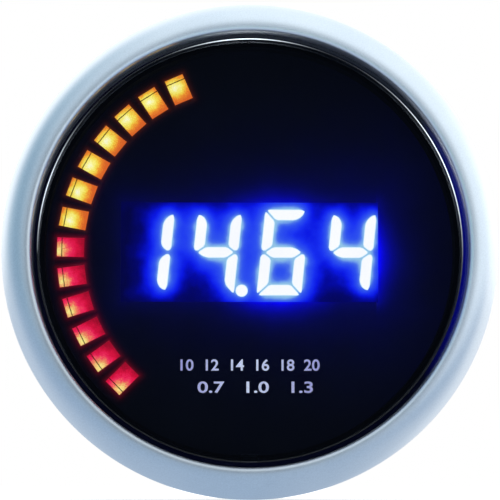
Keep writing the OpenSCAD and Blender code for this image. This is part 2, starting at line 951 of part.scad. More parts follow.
// An open box round the pins, with two key ribs on its outer wall
module socket(columns, offset) {
    side = sign(offset);
    hole_w = pin_w + 2 * pin_fit;
    floor_y = main_rear + socket_floor;
    difference() {
        translate([0, 0, offset])
            slab(cavity_w(columns) + 2 * socket_wall, cavity_h + 2 * socket_wall,
                main_rear, socket_rear);
        difference() {
            translate([0, 0, offset])
                slab(cavity_w(columns), cavity_h, floor_y, socket_rear + overrun);
            for (rib = [-1, 1])
                translate([
                    rib * cavity_w(columns) / 4,
                    0,
                    offset + side * (cavity_h / 2 - key_rib_h / 2)
                ])
                    slab(key_rib_w, key_rib_h, floor_y - overrun, socket_rear - key_rib_h);
        }
        at_pins(columns, offset) slab(hole_w, hole_w, main_rear - overrun, floor_y + overrun);
    }
}

module pins(columns, offset) {
    at_pins(columns, offset) slab(pin_w, pin_w, main_front - pin_tail, pin_tip);
}

module sensor_socket() {
    color("#1b1c1f") socket(sensor_columns, socket_offset);
}

module sensor_pins() {
    color("#d6b35c") pins(sensor_columns, socket_offset);
}

module power_socket() {
    color("#1b1c1f") socket(power_columns, -socket_offset);
}

module power_pins() {
    color("#d6b35c") pins(power_columns, -socket_offset);
}

// Rear cover and studs

module socket_cutout(columns, offset) {
    translate([0, 0, offset])
        slab(cavity_w(columns) + 2 * socket_wall + 2 * socket_fit,
            cavity_h + 2 * socket_wall + 2 * socket_fit,
            cover_front - overrun, barrel_depth + overrun);
}

module at_studs() {
    for (side = stud_sides) translate([side * stud_spacing / 2, 0, 0]) children();
}

module rear_cover() {
    color("#1b1d21") difference() {
        rod(cover_r, cover_front, barrel_depth);
        socket_cutout(sensor_columns, socket_offset);
        socket_cutout(power_columns, -socket_offset);
        at_studs() rod(stud_r + thread_fit, cover_front - overrun, barrel_depth + overrun);
        for (angle = cover_screw_angles)
            toward(angle, boss_ring_r)
                rod(cover_screw_dia / 2 + thread_fit, cover_front - overrun, barrel_depth + overrun);
    }
}

module rear_cover_screws() {
    color("#2a2c30") for (angle = cover_screw_angles)
        toward(angle, boss_ring_r) on_rear(barrel_depth)
            pan_screw(cover_screw_dia, cover_screw_len, cover_head_dia, cover_head_h);
}

module mounting_studs() {
    tip = barrel_depth + stud_out;
    color("#b9bec4") at_studs() {
        hex_rod(stud_head_r, cover_front - stud_head_t, cover_front);
        turned([
            [0, cover_front - overrun],
            [stud_r, cover_front - overrun],
            [stud_r, tip - stud_point],
            [stud_r - stud_point, tip],
            [0, tip]
        ]);
    }
}

module stud_lock_nuts() {
    color("#b9bec4") at_studs() difference() {
        hex_rod(stud_head_r, barrel_depth, barrel_depth + lock_nut_t);
        rod(stud_r + thread_fit, barrel_depth - overrun, barrel_depth + lock_nut_t + overrun);
    }
}

// Clamp

// The bracket's bent strip, seen from above: X to the right and Y to the rear
module bent_strip() {
    bend_out = bend_r + bracket_t;
    for (side = [0, 1]) mirror([side, 0]) {
        translate([leg_in, leg_space]) square([bracket_t, base_rear - bend_out - leg_space]);
        translate([0, base_front]) square([leg_in - bend_r, bracket_t]);
        translate([leg_in - bend_r, base_rear - bend_out]) intersection() {
            difference() {
                circle(r = bend_out);
                circle(r = bend_r);
            }
            square(bend_out);
        }
    }
}

module clamp_bracket() {
    color("#aab0b6") difference() {
        translate([0, 0, -bracket_w / 2]) linear_extrude(bracket_w) bent_strip();
        at_studs() rod(stud_r + bracket_fit, base_front - overrun, base_rear + overrun);
        translate([-leg_out - overrun, leg_space, 0]) rotate([0, quarter_turn, 0])
            linear_extrude(2 * (leg_out + overrun)) leg_notch();
    }
}

// The notch in the end of a leg, with a round bottom
module leg_notch() {
    radius = notch_w / 2;
    depth = max(notch_depth - radius, 0);
    translate([-notch_w / 2, -overrun]) square([notch_w, overrun + depth]);
    intersection() {
        translate([0, depth]) circle(r = radius);
        translate([-notch_w / 2, 0]) square([notch_w, notch_depth]);
    }
}

module spring_washers() {
    color("#8d9298") at_studs() difference() {
        tube(washer_dia / 2, stud_r + bracket_fit, base_rear, washer_rear);
        translate([0, 0, washer_dia / 2])
            slab(washer_split, washer_dia, base_rear - overrun, washer_rear + overrun);
    }
}

// A ridged thumb nut round the axis
module thumb_nut() {
    grip_r = nut_dia / 2;
    outline = [for (i = [0 : 2 * nut_ridges - 1], edge = [-1, 1])
        let (
            angle = full_turn * (i + edge / 4) / (2 * nut_ridges),
            radius = i % 2 == 0 ? grip_r : grip_r - nut_groove
        )
        radius * [cos(angle), sin(angle)]];
    difference() {
        union() {
            turned([
                [0, washer_rear],
                [nut_collar_dia / 2, washer_rear],
                [nut_collar_dia / 2, nut_collar_rear + overrun],
                [0, nut_collar_rear + overrun]
            ]);
            intersection() {
                sheet(nut_collar_rear, nut_rear) polygon(outline);
                turned([
                    [0, nut_collar_rear],
                    [grip_r - nut_bevel, nut_collar_rear],
                    [grip_r, nut_collar_rear + nut_bevel],
                    [grip_r, nut_rear - nut_bevel],
                    [grip_r - nut_bevel, nut_rear],
                    [0, nut_rear]
                ]);
            }
        }
        rod(stud_r + thread_fit, washer_rear - overrun, nut_rear + overrun);
    }
}

module left_thumb_nut() {
    color("#c2a45a") translate([-stud_spacing / 2, 0, 0]) thumb_nut();
}

module right_thumb_nut() {
    color("#c2a45a") translate([stud_spacing / 2, 0, 0]) thumb_nut();
}

bezel();
lens();
lens_gasket();
housing();
dial_spacer_ring();
dial_plate();
light_box();
amber_leds();
red_leds();
display_body();
lit_segments();
unlit_segments();
display_pins();
display_board();
display_driver();
front_board_screws();
board_standoffs();
rear_board_screws();
main_board();
microcontroller();
sensor_chip();
crystal();
filter_capacitors();
chip_resistors();
voltage_regulator();
heater_transistor();
link_socket();
link_header();
link_pins();
sensor_socket();
sensor_pins();
power_socket();
power_pins();
rear_cover();
rear_cover_screws();
mounting_studs();
stud_lock_nuts();
clamp_bracket();
spring_washers();
left_thumb_nut();
right_thumb_nut();
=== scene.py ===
# %% [markdown]
# # A lit panel gauge
# The gauge is a round 52 mm instrument: a rounded silver bezel, a clear lens, a black dial with
# thirteen warning lights and a blue digital display. The measured solids come in as a fixed frame,
# and this lesson gives each of them its finish, adds what only looks show, and lights the whole.

# %% Load the measured frame
import math

import bmesh
import bpy
import numpy as np
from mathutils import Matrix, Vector


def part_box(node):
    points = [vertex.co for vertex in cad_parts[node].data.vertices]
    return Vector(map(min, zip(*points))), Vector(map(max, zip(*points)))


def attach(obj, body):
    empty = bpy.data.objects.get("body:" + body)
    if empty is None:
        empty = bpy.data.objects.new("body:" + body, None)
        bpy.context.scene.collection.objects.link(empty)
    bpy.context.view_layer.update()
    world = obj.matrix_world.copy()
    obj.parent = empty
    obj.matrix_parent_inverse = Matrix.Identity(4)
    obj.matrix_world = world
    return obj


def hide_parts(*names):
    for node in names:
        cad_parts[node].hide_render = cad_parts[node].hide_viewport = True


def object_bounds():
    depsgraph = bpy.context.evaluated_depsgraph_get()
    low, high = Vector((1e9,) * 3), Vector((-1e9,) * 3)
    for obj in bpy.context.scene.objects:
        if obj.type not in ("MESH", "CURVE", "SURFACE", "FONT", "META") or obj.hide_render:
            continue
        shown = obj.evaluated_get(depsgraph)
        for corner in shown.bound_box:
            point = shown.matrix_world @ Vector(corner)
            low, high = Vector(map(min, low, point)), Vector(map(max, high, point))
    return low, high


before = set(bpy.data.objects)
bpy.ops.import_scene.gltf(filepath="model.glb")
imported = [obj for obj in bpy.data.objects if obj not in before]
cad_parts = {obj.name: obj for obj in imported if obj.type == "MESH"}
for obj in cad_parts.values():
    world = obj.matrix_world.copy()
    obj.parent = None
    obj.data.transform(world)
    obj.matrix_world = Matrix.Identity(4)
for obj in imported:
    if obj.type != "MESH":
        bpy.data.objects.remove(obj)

MM = 0.001
cad_low, cad_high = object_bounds()
print("nodes:", len(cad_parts), "size in mm:", [round(v / MM, 1) for v in cad_high - cad_low])

# %% [markdown]
# ## Camera
# The photograph looks at the face from about 28 cm, a little from below and from the left: the dial
# sits lower in the bezel than it would from straight ahead. The focal length follows from the
# distance and from how much of the frame the bezel fills.

# %% Place the camera
SENSOR = 36.0
VIEW_DISTANCE = 280 * MM
VIEW_AZIMUTH = -1.2
VIEW_ELEVATION = -5.6
BEZEL_RADIUS = 29 * MM
BEZEL_SHARE_OF_FRAME = 248.2 / 250
outline_centre = Vector((0, -4.6 * MM, 0.05 * MM))

azimuth, elevation = math.radians(VIEW_AZIMUTH), math.radians(VIEW_ELEVATION)
towards_camera = Vector((math.sin(azimuth) * math.cos(elevation),
                         -math.cos(azimuth) * math.cos(elevation),
                         math.sin(elevation)))
camera = bpy.data.objects.new("camera", bpy.data.cameras.new("camera"))
bpy.context.scene.collection.objects.link(camera)
camera.data.sensor_width = SENSOR
camera.data.lens = SENSOR / 2 * VIEW_DISTANCE / (BEZEL_RADIUS / BEZEL_SHARE_OF_FRAME)
camera.data.clip_start, camera.data.clip_end = 0.01, 10
camera.location = outline_centre + towards_camera * VIEW_DISTANCE
camera.rotation_euler = (-towards_camera).to_track_quat("-Z", "Y").to_euler()
bpy.context.scene.camera = camera
print("focal length:", round(camera.data.lens, 1), "mm")

# %% [markdown]
# ## Helpers for materials
# Colours are written as they look on a screen and turned to linear light once, by the sRGB curve.
# One function adds any node with its settings and links, so a material reads as a short list.

# %% Colour and node helpers
def linear(code):
    """The linear colour of an sRGB hex code."""
    parts = [int(code[i:i + 2], 16) / 255 for i in (1, 3, 5)]
    return tuple(p / 12.92 if p <= 0.04045 else ((p + 0.055) / 1.055) ** 2.4
                 for p in parts) + (1.0,)


def add(tree, kind, inputs=None, **settings):
    """Adds a node, sets its properties, and fills its inputs with values or links."""
    made = tree.nodes.new(kind)
    for name, value in settings.items():
        setattr(made, name, value)
    for name, value in (inputs or {}).items():
        if isinstance(value, bpy.types.NodeSocket):
            tree.links.new(value, made.inputs[name])
        else:
            made.inputs[name].default_value = value
    return made


def new_material(name):
    """A material with an empty node tree; returns both."""
    material = bpy.data.materials.new(name)
    material.use_nodes = True
    material.node_tree.nodes.clear()
    return material, material.node_tree


def surface(tree, shader):
    """Makes a shader the surface of its material."""
    add(tree, "ShaderNodeOutputMaterial", {"Surface": shader.outputs[0]})


def principled(tree, inputs):
    """A Principled shader."""
    return add(tree, "ShaderNodeBsdfPrincipled", inputs)


def emission(tree, colour, strength):
    """A shader that sends out light."""
    return add(tree, "ShaderNodeEmission", {"Color": colour, "Strength": strength})


def math_of(tree, operation, *values):
    """The result of one Math node."""
    return add(tree, "ShaderNodeMath", dict(enumerate(values)), operation=operation).outputs[0]


def times(tree, first, second):
    """The product of two values."""
    return math_of(tree, "MULTIPLY", first, second)


def plus(tree, first, second):
    """The sum of two values."""
    return math_of(tree, "ADD", first, second)


def minus(tree, first, second):
    """The difference of two values."""
    return math_of(tree, "SUBTRACT", first, second)


def length_of(tree, first, second):
    """The length of the vector that two values span."""
    return math_of(tree, "SQRT", plus(tree, times(tree, first, first),
                                      times(tree, second, second)))


def fading(tree, distance, rate):
    """Falls from 1 as a distance grows, by e for each 1 / rate of it."""
    return math_of(tree, "EXPONENT", times(tree, distance, -rate))


def vector_of(tree, operation, inputs, output="Vector"):
    """The result of one Vector Math node."""
    return add(tree, "ShaderNodeVectorMath", inputs, operation=operation).outputs[output]


print("mid grey in linear light:", round(linear("#808080")[0], 3))

# %% [markdown]
# ## Helpers for patterns
# Patterns are scaled from real sizes in millimetres and read Object coordinates, so that a grain
# keeps its size on every piece.

# %% Pattern and colour helpers
def place(tree):
    """Object coordinates in metres."""
    return add(tree, "ShaderNodeTexCoord").outputs["Object"]


def axes_of(tree):
    """Object coordinates in metres, as three outputs named X, Y and Z."""
    return add(tree, "ShaderNodeSeparateXYZ", {0: place(tree)}).outputs


def grain(tree, size_mm, detail=2.0, roughness=0.5, where=None):
    """Noise whose blobs are about size_mm across, from 0 to 1."""
    return add(tree, "ShaderNodeTexNoise", {
        "Vector": where or place(tree), "Scale": 1 / (size_mm * MM), "Detail": detail,
        "Roughness": roughness}).outputs["Fac"]


def spread(tree, value, low, high, from_low=0.3, from_high=0.7):
    """Maps a pattern onto another range."""
    return add(tree, "ShaderNodeMapRange", {
        "Value": value, "From Min": from_low, "From Max": from_high,
        "To Min": low, "To Max": high}).outputs["Result"]


def blend_colour(tree, factor, first, second):
    """Mixes two colours by a factor."""
    return add(tree, "ShaderNodeMix", {
        "Factor": factor, "A": first, "B": second}, data_type="RGBA").outputs["Result"]


def ramp_of(tree, value, stops):
    """The colour at a value along (position, sRGB code) stops."""
    ramp = add(tree, "ShaderNodeValToRGB", {"Fac": value})
    marks = ramp.color_ramp.elements
    for mark, (position, colour) in zip((marks[0], marks[1]), (stops[0], stops[-1])):
        mark.position, mark.color = position, linear(colour)
    for position, colour in stops[1:-1]:
        marks.new(position).color = linear(colour)
    return ramp.outputs["Color"]


def attribute(tree, name):
    """The value that a mesh stores under a name."""
    return add(tree, "ShaderNodeAttribute", attribute_name=name).outputs["Fac"]


def bumped(tree, height, distance_mm):
    """The normals of a surface that a pattern raises by up to distance_mm."""
    return add(tree, "ShaderNodeBump", {
        "Height": height, "Distance": distance_mm * MM}).outputs["Normal"]


def in_mirrors(tree):
    """1 for the rays that metal and glass send out, 0 for the rest."""
    ray = add(tree, "ShaderNodeLightPath").outputs
    return math_of(tree, "MAXIMUM", ray["Is Glossy Ray"], ray["Is Transmission Ray"])


print("a 0.2 mm grain has a scale of", 1 / (0.2 * MM), "per metre")

# %% [markdown]
# ## Helpers for pieces
# New pieces are drawn in the frame's own place, at the origin and unscaled, so that they stay with
# the solids they belong to.

# %% Mesh and object helpers
def placed(name, data):
    """A new object in the scene."""
    made = bpy.data.objects.new(name, data)
    bpy.context.scene.collection.objects.link(made)
    return made


def mounted(name, data):
    """A new object that rides with the gauge."""
    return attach(placed(name, data), "gauge")


def meshed(shape, name, material=None):
    """Turns a bmesh into a mesh with a material, and frees it."""
    mesh = bpy.data.meshes.new(name)
    shape.to_mesh(mesh)
    shape.free()
    if material:
        mesh.materials.append(material)
    return mesh


def join(shape, first, second, smooth=False):
    """Joins two closed rings of points by quads, or by triangles where a ring is one point."""
    for i in range(len(first)):
        j = (i + 1) % len(first)
        corners = [first[i], first[j], second[j], second[i]]
        corners = [c for n, c in enumerate(corners) if c not in corners[:n]]
        if len(corners) > 2:
            shape.faces.new(corners).smooth = smooth


def prism(shape, outline, start, end):
    """A closed prism along Y over (x, z) points; returns its face at the start."""
    rings = [[shape.verts.new((x, depth, z)) for x, z in outline] for depth in (start, end)]
    front = shape.faces.new(rings[0])
    shape.faces.new(rings[1])
    join(shape, *rings)
    return front


def sheet(shape, xs_mm, depth, zs_mm):
    """An open grid of quads that faces forward or back; returns its corners, column by column."""
    grid = [[shape.verts.new((x * MM, depth, z * MM)) for z in zs_mm] for x in xs_mm]
    for left, right in zip(grid, grid[1:]):
        for corners in zip(left, right, right[1:], left[1:]):
            shape.faces.new(corners)
    return [corner for column in grid for corner in column]


def thicken(shape, thickness_mm):
    """Turns open sheets into closed plates, with their fronts where the sheets were."""
    for face in shape.faces:
        face.normal_update()
        if face.normal.y > 0:
            face.normal_flip()
    rim = [e for e in shape.edges if e.is_boundary]
    copy = bmesh.ops.duplicate(shape, geom=list(shape.faces) + list(shape.verts)
                               + list(shape.edges))
    twin, rear = copy["vert_map"], copy["geom"]
    bmesh.ops.translate(shape, vec=(0, thickness_mm * MM, 0),
                        verts=[v for v in rear if isinstance(v, bmesh.types.BMVert)])
    bmesh.ops.reverse_faces(shape, faces=[f for f in rear if isinstance(f, bmesh.types.BMFace)])
    for edge in rim:
        a, b = edge.verts
        shape.faces.new((a, b, twin[b], twin[a]))
    bmesh.ops.recalc_face_normals(shape, faces=shape.faces)


def dress(material, *nodes):
    """Gives CAD nodes a material."""
    for name in nodes:
        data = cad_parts[name].data
        data.materials.clear()
        data.materials.append(material)


print("nodes to dress:", sum(1 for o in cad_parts.values() if o.type == "MESH"))

# %% [markdown]
# ## Table
# A pale table lies under the bezel's lowest point, and ends a hand's width in front of it, so that
# the flat lens doesn't mirror it. The camera sees paper with its shadow, lifted towards white.
# Metal and glass see a blue grey instead, which brightens behind the gauge and to its right.

# %% Table
FLOOR_HEIGHT = cad_low.z - 0.02 * MM
TABLE_FRONT = -0.10
TABLE_REACH = 3.0
CAMERA_LIFT = 0.72
TABLE_NEAR, TABLE_FAR = (0.38, 0.50, 0.66, 1), (1.10, 1.12, 1.15, 1)
material, tree = new_material("pale_studio_table")
paper = add(tree, "ShaderNodeBsdfDiffuse", {"Color": linear("#eceef0")})
from_camera = add(tree, "ShaderNodeLightPath").outputs["Is Camera Ray"]
lift = emission(tree, linear("#ffffff"), times(tree, from_camera, CAMERA_LIFT))
seen = add(tree, "ShaderNodeAddShader", {0: paper.outputs[0], 1: lift.outputs[0]})
where = axes_of(tree)
both_sides = spread(tree, math_of(tree, "ABSOLUTE", where["X"]), 0.15, 0.42, 0.0, 30 * MM)
right_side = spread(tree, where["X"], 0.0, 0.45, 0.0, 30 * MM)
behind = spread(tree, where["Y"], 0.10, 1.0, -22 * MM, 11 * MM)
lit = times(tree, behind, plus(tree, both_sides, right_side))
mirrored = emission(tree, blend_colour(tree, lit, TABLE_NEAR, TABLE_FAR), 1.0)
surface(tree, add(tree, "ShaderNodeMixShader", {
    0: in_mirrors(tree), 1: seen.outputs[0], 2: mirrored.outputs[0]}))
floor_mesh = bpy.data.meshes.new("table")
floor_mesh.from_pydata([(x, y, FLOOR_HEIGHT) for x, y in (
    (-TABLE_REACH, TABLE_FRONT), (TABLE_REACH, TABLE_FRONT),
    (TABLE_REACH, TABLE_REACH), (-TABLE_REACH, TABLE_REACH))], [], [(0, 1, 2, 3)])
floor_mesh.materials.append(material)
floor = placed("table", floor_mesh)
print("table at", round(FLOOR_HEIGHT / MM, 2), "mm")

# %% [markdown]
# ## World
# The world is white to the camera and a soft pale blue to matt surfaces. Metal and glass see a
# studio in it, built up in layers: pale blue all round, white behind the gauge, a large soft light
# at the upper right, a bright wall at the right, and a dark card round the camera.

# %% World
world = bpy.data.worlds.new("studio")
bpy.context.scene.world = world
world.use_nodes = True
tree = world.node_tree
tree.nodes.clear()
direction = add(tree, "ShaderNodeTexCoord").outputs["Generated"]


def cone(towards, start_degrees, end_degrees):
    """0 outside a cone of start_degrees about a direction, 1 inside end_degrees, smooth between."""
    facing = vector_of(tree, "DOT_PRODUCT", {0: direction, 1: Vector(towards).normalized()},
                       "Value")
    return add(tree, "ShaderNodeMapRange", {
        "Value": facing, "From Min": math.cos(math.radians(start_degrees)),
        "From Max": math.cos(math.radians(end_degrees))},
        interpolation_type="SMOOTHSTEP").outputs["Result"]


SKY_BASE = (0.27, 0.42, 0.54, 1)
SKY_LAYERS = (((0, 1, 0), 125, 70, (0.47, 0.64, 0.76, 1)),
              ((0, 1, 0.15), 84, 40, (1.45, 1.45, 1.45, 1)),
              ((0.74, -0.26, 0.62), 105, 45, (1.12, 1.20, 1.26, 1)),
              ((0.8, 0.5, -0.2), 58, 22, (1.60, 1.62, 1.64, 1)),
              ((0, -1, 0.1), 18, 10, (0.02, 0.03, 0.05, 1)))
sky = SKY_BASE
for towards, start_degrees, end_degrees, colour in SKY_LAYERS:
    sky = blend_colour(tree, cone(towards, start_degrees, end_degrees), sky, colour)
mirrored = add(tree, "ShaderNodeBackground", {"Color": sky, "Strength": 1.0})
ambient = add(tree, "ShaderNodeBackground", {"Color": (0.84, 0.91, 1.0, 1), "Strength": 0.4})
white = add(tree, "ShaderNodeBackground", {"Color": (1, 1, 1, 1), "Strength": 1.0})
lit = add(tree, "ShaderNodeMixShader", {
    0: in_mirrors(tree), 1: ambient.outputs[0], 2: mirrored.outputs[0]})
shown = add(tree, "ShaderNodeMixShader", {
    0: add(tree, "ShaderNodeLightPath").outputs["Is Camera Ray"], 1: lit.outputs[0],
    2: white.outputs[0]})
add(tree, "ShaderNodeOutputWorld", {"Surface": shown.outputs[0]})
print("sky layers:", len(SKY_LAYERS))

# %% [markdown]
# ## Lamps
# Three soft lamps shape the matt pieces and add the shadow. Metal doesn't mirror them, because the
# world already holds the lights that it should show.

# %% Lamps
def lamp(name, place_m, side_m, power, colour):
    """A soft square lamp that points at the gauge."""
    data = bpy.data.lights.new(name, "AREA")
    data.shape, data.size = "SQUARE", side_m
    data.energy, data.color = power, linear(colour)[:3]
    made = placed(name, data)
    made.location = place_m
    made.rotation_euler = Vector(place_m).to_track_quat("Z", "Y").to_euler()
    made.visible_glossy = False


lamp("key_lamp", (0.70, -0.30, 0.60), 0.5, 2.0, "#fffdfa")
lamp("top_lamp", (-0.10, 0.15, 0.95), 0.6, 4.0, "#ffffff")
lamp("back_lamp", (-0.55, 0.75, 0.35), 0.4, 2.5, "#f4f9ff")

# %% [markdown]
# ## Metals
# The bezel wears a satin silver lacquer: pale flakes whose fine grain blurs every reflection. The
# clamp and studs are zinc-plated steel, the thumb nuts brass, and the contact pins gold over
# nickel. One recipe serves them all: metal, a tone that wanders, and a fine bump.

# %% Metal finishes
def metal(name, bright, dull, roughness, grain_mm, bump_mm, stretch=(1, 1, 1)):
    """A metal with tone and roughness that vary over its surface."""
    material, tree = new_material(name)
    where = add(tree, "ShaderNodeMapping", {"Vector": place(tree), "Scale": stretch}).outputs[0]
    fine = grain(tree, grain_mm, 3.0, 0.6, where)
    broad = grain(tree, 40 * grain_mm, 2.0, 0.5, where)
    tone = blend_colour(tree, spread(tree, broad, 0, 1), linear(dull), linear(bright))
    speck = spread(tree, fine, 0.93, 1.05)
    tone = add(tree, "ShaderNodeMix", {"Factor": 1.0, "A": tone, "B": speck},
               data_type="RGBA", blend_type="MULTIPLY").outputs["Result"]
    surface(tree, principled(tree, {
        "Base Color": tone, "Metallic": 1.0, "Normal": bumped(tree, fine, bump_mm),
        "Roughness": spread(tree, fine, roughness - 0.03, roughness + 0.05)}))
    return material


satin_silver = metal("satin_silver_lacquer", "#e2eaf1", "#dde6ee", 0.40, 0.16, 0.004)
zinc_plated_steel = metal("zinc_plated_steel", "#c9ced3", "#aab0b8", 0.30, 0.25, 0.01)
dress(zinc_plated_steel, "stud_lock_nuts", "front_board_screws", "rear_board_screws")
dress(metal("zinc_plated_steel_sheet", "#c4c9cf", "#b3b9c1", 0.34, 0.2, 0.008, (1, 1, 5)),
      "clamp_bracket")
dress(metal("phosphated_spring_steel", "#6d7278", "#53575c", 0.38, 0.2, 0.01),
      "spring_washers", "rear_cover_screws")
dress(metal("turned_brass", "#d9b46a", "#c49c50", 0.28, 0.2, 0.008),
      "left_thumb_nut", "right_thumb_nut", "board_standoffs")
dress(metal("gold_plated_contact", "#e6c36e", "#d8ae55", 0.2, 0.1, 0.004),
      "sensor_pins", "power_pins", "link_pins")
dress(metal("tinned_copper", "#d0d3d6", "#b4b8bd", 0.3, 0.1, 0.006), "display_pins", "crystal")
print("steels:", sum(1 for m in bpy.data.materials if "steel" in m.name))

# %% [markdown]
# ## The bezel's inner edge
# The innermost half millimetre of the bezel picks up the lens beside it, as painted light in the
# lacquer's tone: painted shade at the lower left, a painted highlight at the upper right. The tone
# follows the radius and the direction there.

# %% Shade the inner edge
EDGE_FROM, EDGE_TO = 25.5 * MM, 26.1 * MM
EDGE_PAINTED_LIGHT = (0.58, 1.45)
UP_RIGHT = (0.6, 0, 0.8)
tree = satin_silver.node_tree
shader = next(n for n in tree.nodes if n.bl_idname == "ShaderNodeBsdfPrincipled")
flat = vector_of(tree, "MULTIPLY", {0: place(tree), 1: (1, 0, 1)})
radius = vector_of(tree, "LENGTH", {0: flat}, "Value")
up_right = vector_of(tree, "DOT_PRODUCT", {0: flat, 1: UP_RIGHT}, "Value")
# Painted shade towards the lower left, painted highlight towards the upper right.
painted_edge_light = spread(tree, up_right, *EDGE_PAINTED_LIGHT, -25 * MM, 25 * MM)
shade = spread(tree, radius, painted_edge_light, 1.0, EDGE_FROM, EDGE_TO)
tone = shader.inputs["Base Color"].links[0].from_socket
tone = vector_of(tree, "SCALE", {0: tone, "Scale": shade})
tree.links.new(tone, shader.inputs["Base Color"])
print("inner edge shaded over", round((EDGE_TO - EDGE_FROM) / MM, 2), "mm")

# %% [markdown]
# ## Moulded plastics and rubber
# The barrel, the cover and the sockets are glass-filled nylon from a spark-eroded mould, whose skin
# is matt and finely pebbled. The housing's inside, in front of the dial, takes the spacer's
# near-black matt finish, which keeps that recess dark.

# %% Plastic finishes
def moulded(name, base, lighter, roughness, pebble_mm, bump_mm, ior=1.5, shine=0.5):
    """A moulded plastic, rubber or resin with a pebbled skin."""
    material, tree = new_material(name)
    pebble = add(tree, "ShaderNodeTexVoronoi", {
        "Vector": place(tree), "Scale": 1 / (pebble_mm * MM), "Randomness": 1.0},
        feature="SMOOTH_F1").outputs["Distance"]
    cloud = grain(tree, 6.0, 3.0)
    tone = blend_colour(tree, spread(tree, cloud, 0, 1), linear(base), linear(lighter))
    surface(tree, principled(tree, {
        "Base Color": tone, "Normal": bumped(tree, pebble, bump_mm), "IOR": ior,
        "Specular IOR Level": shine,
        "Roughness": spread(tree, cloud, roughness - 0.05, roughness + 0.06)}))
    return material


dress(moulded("glass_filled_nylon", "#15161a", "#1d1f24", 0.5, 0.35, 0.02, 1.53),
      "housing", "rear_cover")
dress(moulded("socket_nylon", "#1b1c20", "#232529", 0.42, 0.25, 0.01, 1.53),
      "sensor_socket", "power_socket", "link_socket", "link_header")
dress(moulded("nitrile_rubber", "#030408", "#05060a", 0.85, 0.2, 0.004, 1.52, 0.03),
      "lens_gasket")
dress(moulded("moulding_epoxy", "#1a1a1c", "#242427", 0.55, 0.15, 0.008, 1.55),
      "microcontroller", "sensor_chip", "display_driver", "voltage_regulator",
      "heater_transistor", "chip_resistors")
dress(moulded("capacitor_sleeve", "#8f98a2", "#a3abb4", 0.3, 0.4, 0.004), "filter_capacitors")
dress(moulded("white_light_box", "#d6d4cb", "#e0ded6", 0.55, 0.3, 0.01), "light_box")
dress(moulded("display_abs", "#06070f", "#0a0c18", 0.5, 0.3, 0.01), "display_body")
dress(moulded("blue_tinted_epoxy", "#070a3c", "#0a0f4a", 0.25, 0.5, 0.002, 1.52), "unlit_segments")
dress(moulded("water_clear_epoxy", "#e8d9b0", "#efe4c8", 0.2, 0.5, 0.002, 1.52),
      "amber_leds", "red_leds")

INSIDE_R, INSIDE_DEPTH = 25.5 * MM, 4 * MM
matt_black = moulded("matt_black_spacer", "#030409", "#05060c", 0.8, 0.3, 0.004, 1.5, 0.03)
dress(matt_black, "dial_spacer_ring")
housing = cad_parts["housing"].data
housing.materials.append(matt_black)
# The faces of the recess in front of the dial are darkened to near black.
for face in housing.polygons:
    if math.hypot(face.center.x, face.center.z) < INSIDE_R and face.center.y < INSIDE_DEPTH:
        face.material_index = 1
print("housing faces painted black:", sum(f.material_index for f in housing.polygons))

# %% [markdown]
# ## Boards
# The boards are glass-epoxy under green solder mask, with copper tracks that show through as
# lighter lines.

# %% Solder mask
material, tree = new_material("green_solder_mask")
bricks = add(tree, "ShaderNodeTexBrick", {
    "Vector": add(tree, "ShaderNodeMapping", {
        "Vector": place(tree), "Rotation": (math.pi / 2, 0, 0)}).outputs[0],
    "Scale": 1 / (9 * MM), "Mortar Size": 0.03, "Brick Width": 0.7, "Row Height": 0.16})
mask = blend_colour(tree, bricks.outputs["Fac"], linear("#12492b"), linear("#1f6b3f"))
surface(tree, principled(tree, {
    "Base Color": mask, "Normal": bumped(tree, bricks.outputs["Fac"], 0.03), "IOR": 1.55,
    "Roughness": spread(tree, grain(tree, 1.0), 0.25, 0.35)}))
dress(material, "display_board", "main_board")
print("dressed nodes so far:", sum(1 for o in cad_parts.values() if o.data.materials))

# %% [markdown]
# ## Turned pieces
# The bezel and the lens are seen largest, so they are turned again here with more steps, from
# profiles within 0.15 mm of the solids', and shaded smooth where the profile is smooth. A lathe is
# a few lines: each profile point becomes a ring, and neighbouring rings are joined by quads.

# %% A lathe about the gauge's axis
TURN_STEPS = 240
SHARP_DEGREES = 28


def turned(name, profile_mm, material):
    """A closed solid turned about Y from the (radius, depth) points of its section."""
    shape = bmesh.new()
    rings = []
    for radius, depth in profile_mm:
        if radius == 0:
            rings.append([shape.verts.new((0, depth * MM, 0))] * TURN_STEPS)
            continue
        rings.append([shape.verts.new((radius * MM * math.cos(a), depth * MM,
                                       radius * MM * math.sin(a)))
                      for a in (2 * math.pi * i / TURN_STEPS for i in range(TURN_STEPS))])
    pairs = list(zip(rings, rings[1:]))
    if profile_mm[0][0] and profile_mm[-1][0]:
        pairs.append((rings[-1], rings[0]))
    for first, second in pairs:
        join(shape, first, second, smooth=True)
    bmesh.ops.recalc_face_normals(shape, faces=shape.faces)
    for edge in shape.edges:
        if edge.calc_face_angle(0) > math.radians(SHARP_DEGREES):
            edge.smooth = False
    return mounted(name, meshed(shape, name, material))


print("a turn has", TURN_STEPS, "steps")

# %% [markdown]
# ## Bezel
# The real ring is pressed from sheet and rolled in behind the housing's flange. Its section is a
# quarter ellipse outside, a tight inner rounding, and a groove that holds flange and lens. Its
# width and its front are read from the frame, and its other radii and depths are the solid's. Only
# the inner rounding is a little sharper than the solid's.

